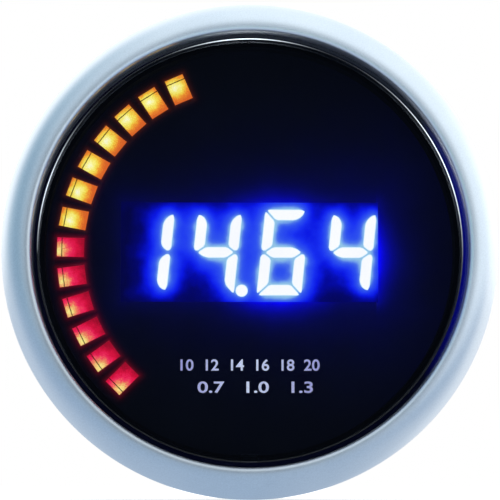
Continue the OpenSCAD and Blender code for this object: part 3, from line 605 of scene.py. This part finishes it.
# %% Turn the bezel
bezel_low, bezel_high = (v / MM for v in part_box("bezel"))
OUTER_R = bezel_high.x
CREST_R = OUTER_R - 3.0
OPENING_R = 25.3
SKIRT_R = 27.6
ROLL_R = 26.7
SKIRT_START = -4.6
CREST_Y = bezel_low.y
LIP_Y = -6.2
ROLL_Y = -1.2
REAR_CHAMFER = 0.3
INNER_DROP = 0.8
INNER_SHARPNESS = 1.6
ARC_STEPS = 16
outer_arc = [(CREST_R + (OUTER_R - CREST_R) * math.cos(t),
              SKIRT_START + (CREST_Y - SKIRT_START) * math.sin(t))
             for t in (math.pi / 2 * i / ARC_STEPS for i in range(ARC_STEPS + 1))]
inner_arc = [(CREST_R - (CREST_R - OPENING_R) * math.sin(t),
              CREST_Y + INNER_DROP * (1 - math.cos(t)) ** INNER_SHARPNESS)
             for t in (math.pi / 2 * i / ARC_STEPS for i in range(1, ARC_STEPS + 1))]
bezel_profile = ([(ROLL_R, 0), (OUTER_R - REAR_CHAMFER, 0), (OUTER_R, -REAR_CHAMFER)]
                 + outer_arc + inner_arc
                 + [(OPENING_R, LIP_Y), (SKIRT_R, LIP_Y), (SKIRT_R, ROLL_Y), (ROLL_R, ROLL_Y)])
bezel = turned("bezel_ring", bezel_profile, satin_silver)
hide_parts("bezel")
print("bezel faces:", len(bezel.data.polygons))

# %% [markdown]
# ## Lens
# The lens is moulded acrylic, IOR 1.49, polished, with a raised middle. Light that enters its rim
# leaves at the small chamfer as a thin line, bright in three places. Path tracing would find that
# too slowly, so the chamfer glows by its direction, which a mesh attribute holds. The sunk rim is
# dark, with a blue glint from the display at its right.

# %% Glaze the lens
polished, tree = new_material("polished_acrylic")
surface(tree, principled(tree, {
    "Base Color": blend_colour(tree, spread(tree, grain(tree, 4.0, 2.0), 0, 1),
                               linear("#e6e9f2"), linear("#eceef5")),
    "Transmission Weight": 1.0, "IOR": 1.49, "Roughness": 0.0}))


def glowing_acrylic(name, tint, ior, grain_mm, roughness, glow, strength_of):
    """Clear plastic that also sends out light, by a strength worked out in its own tree."""
    material, tree = new_material(name)
    glass = principled(tree, {
        "Base Color": linear(tint), "Transmission Weight": 1.0, "IOR": ior,
        "Roughness": spread(tree, grain(tree, grain_mm), *roughness)})
    light = emission(tree, linear(glow), strength_of(tree))
    surface(tree, add(tree, "ShaderNodeAddShader", {0: glass.outputs[0], 1: light.outputs[0]}))
    return material


def glint_strength(tree):
    """The chamfer's stored glint, a little uneven."""
    return times(tree, attribute(tree, "glint"), spread(tree, grain(tree, 0.4, 2.0), 1.1, 1.4))


def blue_glow_strength(tree):
    """The strength of the rim's painted blue glow, rising towards the right."""
    return spread(tree, axes_of(tree)["X"], 0.004, 0.13, 0.020, 0.0245)


chamfer = glowing_acrylic("acrylic_chamfer", "#8a90a4", 1.3, 0.3, (0.04, 0.1), "#e2edf8",
                          glint_strength)
rim = glowing_acrylic("acrylic_rim", "#1c1e46", 1.49, 0.5, (0.05, 0.12), "#0a10ff",
                      blue_glow_strength)
print("lens materials:", polished.name, chamfer.name, rim.name)

# %% [markdown]
# ## Turning the lens
# The glints are bells over the angle about the axis: place and width in degrees, and a level.

# %% Turn the lens
PLATEAU_R = 24.72
PLATEAU_CHAMFER = 0.15
GLINT_BASE = 0.012
GLINTS = ((25, 17, 1.35), (92, 11, 1.5), (163, 12, 0.9))
lens_low, lens_high = (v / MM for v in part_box("lens"))
RIM_Y = LIP_Y + 0.05
lens = turned("clear_lens", [
    (0, lens_low.y), (PLATEAU_R - PLATEAU_CHAMFER, lens_low.y),
    (PLATEAU_R, lens_low.y + PLATEAU_CHAMFER), (PLATEAU_R, RIM_Y),
    (lens_high.x, RIM_Y), (lens_high.x, lens_high.y), (0, lens_high.y)], polished)
glint = lens.data.attributes.new("glint", "FLOAT", "POINT")
for vertex, value in zip(lens.data.vertices, glint.data):
    turn = math.degrees(math.atan2(vertex.co.z, vertex.co.x))
    value.value = GLINT_BASE + sum(level * math.exp(-((turn - middle) / width) ** 2)
                                   for middle, width, level in GLINTS)
lens.data.materials.append(chamfer)
lens.data.materials.append(rim)
for face in lens.data.polygons:
    radius = math.hypot(face.center.x, face.center.z) / MM
    if abs(abs(face.normal.y) - math.sqrt(0.5)) < 0.1:
        face.material_index = 1
    elif radius > PLATEAU_R - 0.05 and face.center.y < (LIP_Y + 0.2) * MM:
        face.material_index = 2
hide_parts("lens")
print("lens from", round(lens_low.y, 2), "to", round(lens_high.y, 2), "mm")

# %% [markdown]
# ## The dial's blue haze
# The dial is a black polycarbonate plate. The display's light spills into the lens and the plate as
# a navy haze that fades over about ten millimetres, strongest below the middle digits and at the
# window's right edge. So the plate glows by its distance from the display window.

# %% Haze round the display
WINDOW_HALF = (15.15, 5.9)
HAZE_INSET = (0.6, 0.3)
NEAR_RATE, FAR_RATE = 1.15, 0.24
EDGE_X, EDGE_LEVEL = 14.9, 2.6
MIDDLE_ABOVE, MIDDLE_EXTRA_BELOW, NEAR_BASE = 0.75, 0.8, 0.06
dial_material, tree = new_material("printed_polycarbonate")
where = axes_of(tree)


def beyond(axis, half_mm):
    """How far a point lies beyond half_mm from the middle, in millimetres."""
    distance = math_of(tree, "DIVIDE", math_of(tree, "ABSOLUTE", where[axis]), MM)
    return math_of(tree, "MAXIMUM", minus(tree, distance, half_mm), 0.0)


def bell(axis, middle_mm, width_mm):
    """1 at a place along an axis, falling off smoothly on both sides."""
    offset = math_of(tree, "DIVIDE", minus(tree, where[axis], middle_mm * MM), width_mm * MM)
    return fading(tree, times(tree, offset, offset), 1.0)


away = length_of(tree, beyond("X", WINDOW_HALF[0] - HAZE_INSET[0]),
                 beyond("Z", WINDOW_HALF[1] - HAZE_INSET[1]))
right_edge = times(tree, bell("Z", -0.5, 3.8),
                   math_of(tree, "GREATER_THAN", where["X"], EDGE_X * MM))
below = math_of(tree, "LESS_THAN", where["Z"], 0.0)
middle = times(tree, bell("X", 3.2, 4.2),
               plus(tree, MIDDLE_ABOVE, times(tree, below, MIDDLE_EXTRA_BELOW)))
reach = plus(tree, times(tree, right_edge, EDGE_LEVEL), plus(tree, middle, NEAR_BASE))
near = times(tree, reach, fading(tree, away, NEAR_RATE))
far = times(tree, spread(tree, where["X"], 0.022, 0.075, -0.014, 0.010),
            fading(tree, away, FAR_RATE))
haze = times(tree, plus(tree, near, far), spread(tree, grain(tree, 3.0, 3.0), 0.85, 1.15))
print("haze round a window of", [2 * half for half in WINDOW_HALF], "mm")

# %% [markdown]
# ## The halos round the lights
# A faint red or amber halo seeps round each light. The plate finds its nearest light by angle, then
# the distance to that light's window.

# %% Halos and the dial's surface
LIGHT_COUNT = 13
AMBER_COUNT = 7
RING_R = 21.05
FIRST_TURN = math.radians(113.5)
STEP_TURN = math.radians(9.29)
LIGHT_HALF = (1.6, 1.15)
HALO_RATE, HALO_LEVEL = 4.5, 0.16
turn = math_of(tree, "ARCTAN2", where["Z"], where["X"])
turn = plus(tree, turn, times(tree, math_of(tree, "LESS_THAN", turn, 0.0), 2 * math.pi))
past_first = minus(tree, turn, FIRST_TURN)
order = math_of(tree, "ROUND", math_of(tree, "DIVIDE", past_first, STEP_TURN))
order = math_of(tree, "MINIMUM", math_of(tree, "MAXIMUM", order, 0.0), LIGHT_COUNT - 1.0)
radius = math_of(tree, "DIVIDE", length_of(tree, where["X"], where["Z"]), MM)
slide = minus(tree, past_first, times(tree, order, STEP_TURN))
gaps = [math_of(tree, "MAXIMUM", minus(tree, math_of(tree, "ABSOLUTE", measure), half), 0.0)
        for measure, half in zip((minus(tree, radius, RING_R), times(tree, radius, slide)),
                                 LIGHT_HALF)]
halo = times(tree, fading(tree, length_of(tree, *gaps), HALO_RATE), HALO_LEVEL)
is_red = math_of(tree, "GREATER_THAN", order, AMBER_COUNT - 0.5)
halo_colour = blend_colour(tree, is_red, (0.45, 0.06, 0.01, 1), (1.0, 0.01, 0.05, 1))
glow = vector_of(tree, "ADD", dict(enumerate(
    vector_of(tree, "SCALE", {0: colour, "Scale": strength})
    for colour, strength in ((halo_colour, halo), (linear("#0400ff")[:3], haze)))))
surface(tree, principled(tree, {
    "Base Color": blend_colour(tree, spread(tree, grain(tree, 5.0), 0, 1), linear("#04060b"),
                               linear("#070910")),
    "Normal": bumped(tree, grain(tree, 0.12), 0.002), "Roughness": 0.8, "IOR": 1.58,
    "Specular IOR Level": 0.04, "Emission Color": glow, "Emission Strength": 1.0}))
dress(dial_material, "dial_plate")
print("halos round", LIGHT_COUNT, "lights")

# %% [markdown]
# ## Warning lights
# Under each window a tinted film lies over the well, and a small lamp behind it makes a hot spot.
# The points of a film know how far across and along it they are, so that its material can place it.

# %% Draw one film
FILM_HALF = (LIGHT_HALF[0] + 0.02, LIGHT_HALF[1] + 0.02)
FILM_CELLS = (20, 14)
FILM_Y = -1.3
FILM_T = 0.05


def film_mesh():
    """A thin plate whose points know how far across and along it they are, from -1 to 1."""
    shape = bmesh.new()
    xs, zs = ([half * (2 * i / cells - 1) for i in range(cells + 1)]
              for half, cells in zip(FILM_HALF, FILM_CELLS))
    sheet(shape, xs, 0, zs)
    thicken(shape, FILM_T)
    mesh = meshed(shape, "film")
    for name, axis, half in (("across", 0, FILM_HALF[0]), ("along", 2, FILM_HALF[1])):
        stored = mesh.attributes.new(name, "FLOAT", "POINT")
        stored.data.foreach_set("value", [v.co[axis] / (half * MM) for v in mesh.vertices])
    return mesh


print("film size:", [round(2 * half, 2) for half in FILM_HALF], "mm")

# %% [markdown]
# ## An arc of copies
# The films repeat along an arc, which Geometry Nodes do well: one plate is copied to points on the
# arc and turned to follow it. Each copy stores its order, so that the hot spot can drift.

# %% Repeat a mesh along an arc
ARC_INPUTS = {"Count": "NodeSocketInt", "Radius": "NodeSocketFloat",
              "First Angle": "NodeSocketFloat", "Step Angle": "NodeSocketFloat",
              "Depth": "NodeSocketFloat"}


def arc_tree(name, material):
    """Geometry Nodes that copy the incoming mesh to points on an arc of the dial."""
    tree = bpy.data.node_groups.new(name, "GeometryNodeTree")
    tree.interface.new_socket("Geometry", in_out="INPUT", socket_type="NodeSocketGeometry")
    for label, kind in ARC_INPUTS.items():
        tree.interface.new_socket(label, in_out="INPUT", socket_type=kind)
    tree.interface.new_socket("Geometry", in_out="OUTPUT", socket_type="NodeSocketGeometry")
    given = add(tree, "NodeGroupInput").outputs
    index = add(tree, "GeometryNodeInputIndex").outputs[0]
    angle = plus(tree, given["First Angle"], times(tree, index, given["Step Angle"]))
    spot = add(tree, "ShaderNodeCombineXYZ", {
        "X": times(tree, given["Radius"], math_of(tree, "COSINE", angle)),
        "Y": given["Depth"],
        "Z": times(tree, given["Radius"], math_of(tree, "SINE", angle))})
    points = add(tree, "GeometryNodePoints", {"Count": given["Count"],
                                              "Position": spot.outputs[0]})
    points = add(tree, "GeometryNodeStoreNamedAttribute", {
        "Geometry": points.outputs[0], "Name": "order",
        "Value": math_of(tree, "DIVIDE", index, given["Count"])}, data_type="FLOAT",
        domain="POINT")
    turn = add(tree, "ShaderNodeCombineXYZ", {"Y": times(tree, angle, -1.0)})
    copies = add(tree, "GeometryNodeInstanceOnPoints", {
        "Points": points.outputs["Geometry"], "Instance": given["Geometry"],
        "Rotation": turn.outputs[0]})
    real = add(tree, "GeometryNodeRealizeInstances", {0: copies.outputs[0]})
    painted = add(tree, "GeometryNodeSetMaterial", {"Geometry": real.outputs[0],
                                                    "Material": material})
    add(tree, "NodeGroupOutput", {0: painted.outputs[0]})
    return tree


def frozen(maker):
    """The mesh that an object comes out as; the object goes."""
    bpy.context.view_layer.update()
    made = bpy.data.meshes.new_from_object(maker.evaluated_get(
        bpy.context.evaluated_depsgraph_get()))
    bpy.data.objects.remove(maker)
    return made


def grown(name, mesh, tree, values):
    """Runs a Geometry Nodes tree on a mesh, keeps the result as a plain mesh, and lets it ride."""
    seed = placed(name + "_seed", mesh)
    modifier = seed.modifiers.new("grow", "NODES")
    modifier.node_group = tree
    for item in tree.interface.items_tree:
        if item.in_out == "INPUT" and item.name in values:
            modifier[item.identifier] = values[item.name]
    made = frozen(seed)
    made.name = name
    return mounted(name, made)


print("inputs of an arc:", ", ".join(ARC_INPUTS))

# %% [markdown]
# ## The lit films
# A film is acetate with a lamp behind it: pale yellow at the hot spot, then amber or red towards
# the corners, with the mottle of the lamp's lens. A dark line of painted shade crosses it near its
# outer end, where a gap lets no light through. In the red ones the hot spot sits at the outer end
# and drifts from light to light.

# %% Light the films
FILM_GAP = (0.62, 0.69)
GAP_SHADE_DEPTH = 0.92
GAP_SHADE_COLOUR = (0.02, 0.004, 0.001, 1)


def film_material(name, stops, spot, drift, widths, mottle, power):
    """A lit film: colours that follow the distance from a hot spot, and a mottled grain."""
    material, tree = new_material(name)
    order = attribute(tree, "order")
    offsets = []
    for axis, middle, move, width in zip(("across", "along"), spot, drift, widths):
        offset = minus(tree, attribute(tree, axis), plus(tree, middle, times(tree, order, move)))
        offsets.append(math_of(tree, "DIVIDE", offset, width))
    speckle = plus(tree, spread(tree, grain(tree, 0.13, 2.0, 0.7), -mottle, mottle),
                   spread(tree, grain(tree, 0.6, 2.0), -mottle / 2, mottle / 2))
    distance = plus(tree, length_of(tree, *offsets), speckle)
    reach = stops[-1][0]
    colour = ramp_of(tree, math_of(tree, "DIVIDE", distance, reach),
                     [(position / reach, code) for position, code in stops])
    wobble = plus(tree, attribute(tree, "across"),
                  spread(tree, grain(tree, 0.15, 2.0), -0.012, 0.012))
    # A line of painted shade across the film, where a gap lets no light through.
    line = times(tree, math_of(tree, "GREATER_THAN", wobble, FILM_GAP[0]),
                 math_of(tree, "LESS_THAN", wobble, FILM_GAP[1]))
    colour = blend_colour(tree, times(tree, line, GAP_SHADE_DEPTH), colour, GAP_SHADE_COLOUR)
    surface(tree, emission(tree, colour, power))
    return material


amber = film_material(
    "amber_lit_film", ((0.0, "#fffcd2"), (0.3, "#fff68c"), (0.6, "#f8e455"), (0.85, "#f5b838"),
                       (1.05, "#f08a2c"), (1.4, "#dc6426")),
    (0.28, 0.25), (0.0, 0.0), (0.78, 1.30), 0.20, 1.24)
red = film_material(
    "red_lit_film", ((0.0, "#fff08c"), (0.3, "#fad278"), (0.55, "#f09660"), (0.8, "#f8505c"),
                     (1.0, "#f4265a"), (1.4, "#dc103c"), (2.0, "#a00a28")),
    (0.84, 0.30), (-0.22, 0.40), (0.90, 1.10), 0.30, 1.22)
for name, first, count, material in (("amber_films", 0, AMBER_COUNT, amber),
                                     ("red_films", AMBER_COUNT, LIGHT_COUNT - AMBER_COUNT, red)):
    films = grown(name, film_mesh(), arc_tree(name + "_arc", material), {
        "Count": count, "Radius": RING_R * MM, "Depth": FILM_Y * MM,
        "First Angle": FIRST_TURN + first * STEP_TURN, "Step Angle": STEP_TURN})
    print(name, len(films.data.polygons), "faces")

# %% [markdown]
# ## Outlines of the lit segments
# The lit segments are bars of clear resin over bright chips. Glow hides their sharp corners, so the
# outlines are taken from the solids and softened: a free tip is blunted and cut twice, and a corner
# that meets another bar is cut once.

# %% Soften the outlines
FREE_DISTANCE = 0.8 * MM
TIP_EDGE = 0.4 * MM
TIP_CUT = 0.36 * MM
CORNER_CUTS = (0.34 * MM, 0.15 * MM)
JOINED_CUT = 0.2 * MM
FREE_SHARES = (0.85, 0.42)
JOINED_SHARES = (0.3, 0.3)
BAR_CORNERS = 8


def along_edge(points, i, j, length):
    """The point at a length from point i towards point j."""
    return points[i] + (points[j] - points[i]).normalized() * length


def cut_corners(points, free, picked, shares, limit):
    """Cuts the free or the joined corners, each by a share of its edges up to a limit."""
    made, flags = [], []
    for i, point in enumerate(points):
        if free[i] != picked:
            made.append(point)
            flags.append(free[i])
            continue
        for j in (i - 1, (i + 1) % len(points)):
            length = min((points[j] - point).length * shares[free[j]], limit)
            made.append(along_edge(points, i, j, length))
            flags.append(picked)
    return made, flags


def softened(points, free):
    """Blunts the free tip of a bar, cuts its free corners twice and its joined corners once."""
    points = list(points)
    is_bar = len(points) < BAR_CORNERS
    for i in range(len(points)):
        j = (i + 1) % len(points)
        if free[i] and free[j] and (points[i] - points[j]).length < TIP_EDGE:
            points[i], points[j] = (along_edge(points, i, i - 1, TIP_CUT),
                                    along_edge(points, j, (j + 1) % len(points), TIP_CUT))
            break
    for limit in CORNER_CUTS:
        points, free = cut_corners(points, free, True, FREE_SHARES, limit)
    if is_bar:
        points, free = cut_corners(points, free, False, JOINED_SHARES, JOINED_CUT)
    return points


shape = bmesh.new()
shape.from_mesh(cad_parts["lit_segments"].data)
bmesh.ops.remove_doubles(shape, verts=shape.verts, dist=0.002 * MM)
bmesh.ops.dissolve_limit(shape, angle_limit=math.radians(2), verts=shape.verts, edges=shape.edges)
front_y, rear_y = (v.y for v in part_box("lit_segments"))
sharp_outlines = [[v.co.copy() for v in f.verts] for f in shape.faces
                  if f.normal.y < -0.9 and abs(f.calc_center_median().y - front_y) < 0.01 * MM]
shape.free()
outlines = []
for outline in sharp_outlines:
    others = [v for other in sharp_outlines if other is not outline for v in other]
    free = [len(outline) < BAR_CORNERS
            and min((v - other).length for other in others) > FREE_DISTANCE for v in outline]
    outlines.append(softened(outline, free))
print("outlines:", len(outlines), "points:", sum(len(o) for o in outlines))

# %% [markdown]
# ## Lit bars
# The bars look white in the middle and pale cyan at the rim. Each front gets an inset rim, and an
# attribute runs from 0 at the edge to 1 inside it.

# %% Build the lit bars
PROUD = 0.06 * MM
RIM_WIDTH = 0.14 * MM
shape = bmesh.new()
level = shape.verts.layers.float.new("core")
fronts = [prism(shape, [(v.x, v.z) for v in outline], front_y - PROUD, rear_y)
          for outline in outlines]
bmesh.ops.recalc_face_normals(shape, faces=shape.faces)
bmesh.ops.inset_individual(shape, faces=fronts, thickness=RIM_WIDTH, use_even_offset=True)
for face in fronts:
    for vertex in face.verts:
        vertex[level] = 1.0
material, tree = new_material("glowing_clear_epoxy")
core = plus(tree, attribute(tree, "core"), spread(tree, grain(tree, 0.12, 2.0), -0.12, 0.12))
colour = ramp_of(tree, core, ((0.0, "#b4e2fa"), (0.4, "#e2f8ff"), (0.85, "#ffffff")))
surface(tree, emission(tree, colour, 1.25))
lit_bars = mounted("lit_bars", meshed(shape, "lit_bars", material))
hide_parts("lit_segments")
print("lit bars:", len(fronts))

# %% [markdown]
# ## Display light
# The light of the bars floods the blue filter that covers the module. Points along the bars stand
# for it, and the level unlit bars of the first digit leak a little.

# %% Sample the bars
SAMPLE_STEP = 0.3
LIT, LEAK = 0.80, 0.014
FIRST_DIGIT_END = -11 * MM


def inside(ring, x, z):
    """True if a point lies in a ring of points."""
    within = False
    for (x1, z1), (x2, z2) in zip(ring, np.roll(ring, -1, 0)):
        if (z1 > z) != (z2 > z) and x < (x2 - x1) * (z - z1) / (z2 - z1) + x1:
            within = not within
    return within


def sampled(outlines, weight):
    """Points inside the outlines, in millimetres, each with its share of the light."""
    found = []
    for outline in outlines:
        ring = np.array([(p.x, p.z) for p in outline]) / MM
        low, high = ring.min(0), ring.max(0)
        found += [(x, z, weight * SAMPLE_STEP ** 2) for x in np.arange(low[0], high[0], SAMPLE_STEP)
                  for z in np.arange(low[1], high[1], SAMPLE_STEP) if inside(ring, x, z)]
    return found


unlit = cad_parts["unlit_segments"].data
dark_bars = []
for face in unlit.polygons:
    points = [unlit.vertices[i].co for i in face.vertices]
    is_flat_bar = np.ptp([p.x for p in points]) > np.ptp([p.z for p in points])
    if face.normal.y < -0.9 and face.center.x < FIRST_DIGIT_END and is_flat_bar:
        dark_bars.append(points)
samples = sampled(outlines, LIT) + sampled(dark_bars, LEAK)
print("light samples:", len(samples), "from", len(dark_bars), "dark bars as well")

# %% [markdown]
# ## Display filter
# The filter is a fine grid that stores at each point how much light arrives, as a sum over the
# samples that falls off with distance: pale next to a bar, pure blue between bars and navy at the
# far corners. The logarithm stands for the camera's response to so bright a display.

# %% Flood the filter
FILTER_STEP = 0.14
MARGIN = 0.2
SOFT_CORE, FALL_POWER = 0.3, 1.6
LOG_OFFSET, LOG_RANGE = 3.0, 4.5
FILTER_PROUD, FILTER_T = 0.03, 0.02
columns, rows = (round(2 * half / FILTER_STEP) + 4 for half in WINDOW_HALF)
xs = np.linspace(-WINDOW_HALF[0] - MARGIN, WINDOW_HALF[0] + MARGIN, columns)
zs = np.linspace(-WINDOW_HALF[1] - MARGIN, WINDOW_HALF[1] + MARGIN, rows)
grid = np.array([(x, z) for x in xs for z in zs])
light = np.zeros(len(grid))
for x, z, share in samples:
    light += share / (SOFT_CORE + (grid[:, 0] - x) ** 2 + (grid[:, 1] - z) ** 2) ** FALL_POWER
brightness = np.clip((np.log(light) + LOG_OFFSET) / LOG_RANGE, 0, 1)
shape = bmesh.new()
level = shape.verts.layers.float.new("light")
for corner, value in zip(sheet(shape, xs, front_y - FILTER_PROUD * MM, zs), brightness):
    corner[level] = value
thicken(shape, FILTER_T)
material, tree = new_material("blue_flooded_filter")
cloudy = plus(tree, attribute(tree, "light"), spread(tree, grain(tree, 1.6, 3.0), -0.04, 0.04))
colour = ramp_of(tree, cloudy, (
    (0.0, "#010144"), (0.20, "#010271"), (0.30, "#0104a3"), (0.43, "#0817ed"), (0.54, "#1933fc"),
    (0.73, "#345af8"), (0.82, "#4e77f3"), (0.92, "#87b9f5"), (0.98, "#a0d3f0")))
surface(tree, emission(tree, colour, 1.08))
display_filter = mounted("display_filter", meshed(shape, "display_filter", material))
print("filter grid:", columns, "x", rows)

# %% [markdown]
# ## Dial print
# Two lines of plain numbers stand below the display, printed in white ink. The ink also glows, as
# painted light, whiter in the middle of each line and a dimmer violet towards its ends. Blender's
# own font is laid out, widened, made a mesh, and only then put in its place on the dial.

# %% Print the numbers
INK_T = 0.02
INK_OVERLAP = 0.001
LETTER_EXTRUDE, LETTER_WEIGHT = 0.5, 0.018
ink_and_glow_material, tree = new_material("white_print_ink_painted_glow")
# Painted light: the ink glows, whiter in the middle and a dimmer violet towards the line ends.
end = times(tree, math_of(tree, "ABSOLUTE", axes_of(tree)["X"]), 1 / (9 * MM))
ink = blend_colour(tree, end, linear("#e4e9f6"), linear("#a9a4d8"))
surface(tree, principled(tree, {
    "Base Color": ink, "Roughness": 0.6, "Emission Color": ink,
    "Emission Strength": spread(tree, grain(tree, 0.3, 2.0), 0.50, 0.72)}))
dial_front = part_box("dial_plate")[0].y


def printed(name, text, width_mm, height_mm, centre_mm):
    """Flat numbers of a given width and height, lying on the dial."""
    curve = bpy.data.curves.new(name, "FONT")
    curve.body, curve.align_x, curve.resolution_u = text, "CENTER", 6
    curve.extrude, curve.offset = LETTER_EXTRUDE, LETTER_WEIGHT
    mesh = frozen(placed(name + "_maker", curve))
    points = np.array([v.co for v in mesh.vertices])
    low, high = points.min(0), points.max(0)
    middle, size = (low + high) / 2, high - low
    for vertex, p in zip(mesh.vertices, points):
        vertex.co = (((p[0] - middle[0]) * width_mm / size[0] + centre_mm[0]) * MM,
                     dial_front + (INK_OVERLAP if p[2] < 0 else -INK_T) * MM,
                     ((p[1] - middle[1]) * height_mm / size[1] + centre_mm[1]) * MM)
    shape = bmesh.new()
    shape.from_mesh(mesh)
    bmesh.ops.remove_doubles(shape, verts=shape.verts, dist=0.001 * MM)
    bmesh.ops.recalc_face_normals(shape, faces=shape.faces)
    shape.to_mesh(mesh)
    shape.free()
    mesh.materials.clear()
    mesh.materials.append(ink_and_glow_material)
    mesh.name = name
    piece = placed(name, mesh)
    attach(piece, "gauge")
    print(name, len(mesh.polygons), "faces")


printed("upper_numbers", "10  12  14  16  18  20", 16.3, 1.36, (0.05, -13.30))
printed("lower_numbers", "0.7   1.0   1.3", 13.5, 1.36, (0.65, -15.90))

# %% [markdown]
# ## Threaded studs
# The studs behind the cover carry an M4 thread of 0.7 mm pitch. A thread is one surface whose
# radius depends on the turn and on the depth, so it is drawn as a grid that closes on itself. The
# hexagonal head inside the cover is a prism.

# %% Cut the threads
PITCH = 0.7
THREAD_DEPTH = 0.4
STUD_R = 2.0
STUD_X = 15.0
STUD_POINT = 0.5
THREAD_START = 27.6
HEAD_END = 28.0
HEAD_FLATS = 7
AROUND = 28
STEPS_PER_TURN = 8
stud_low, stud_high = (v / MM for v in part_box("mounting_studs"))
tip = stud_high.y
depths = np.arange(THREAD_START, tip + 1e-6, PITCH / STEPS_PER_TURN)


def thread_radius(turn, depth):
    """The radius at a share of a turn and a depth: a V thread, with the tip cut to a point."""
    wave = abs(((depth / PITCH - turn) % 1.0) * 2 - 1)
    return min(STUD_R - THREAD_DEPTH * wave, STUD_R - max(0.0, depth - (tip - STUD_POINT)))


shape = bmesh.new()
for side in (-1, 1):
    rings = []
    for depth in depths:
        ring = []
        for turn in (i / AROUND for i in range(AROUND)):
            radius = thread_radius(turn, depth)
            ring.append(shape.verts.new(
                ((side * STUD_X + radius * math.cos(2 * math.pi * turn)) * MM, depth * MM,
                 radius * math.sin(2 * math.pi * turn) * MM)))
        rings.append(ring)
    for first, second in zip(rings, rings[1:]):
        join(shape, first, second)
    shape.faces.new(rings[0])
    shape.faces.new(rings[-1])
    corner_r = HEAD_FLATS / math.sqrt(3)
    prism(shape, [((side * STUD_X + corner_r * math.cos(math.pi / 3 * i)) * MM,
                   corner_r * math.sin(math.pi / 3 * i) * MM) for i in range(6)],
          stud_low.y * MM, HEAD_END * MM)
bmesh.ops.recalc_face_normals(shape, faces=shape.faces)
studs = mounted("threaded_studs", meshed(shape, "threaded_studs", zinc_plated_steel))
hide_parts("mounting_studs")
print("stud faces:", len(studs.data.polygons))

# %% [markdown]
# ## Finish
# The view transform stays plain.

# %% Finish
bpy.context.scene.view_settings.view_transform = "Standard"
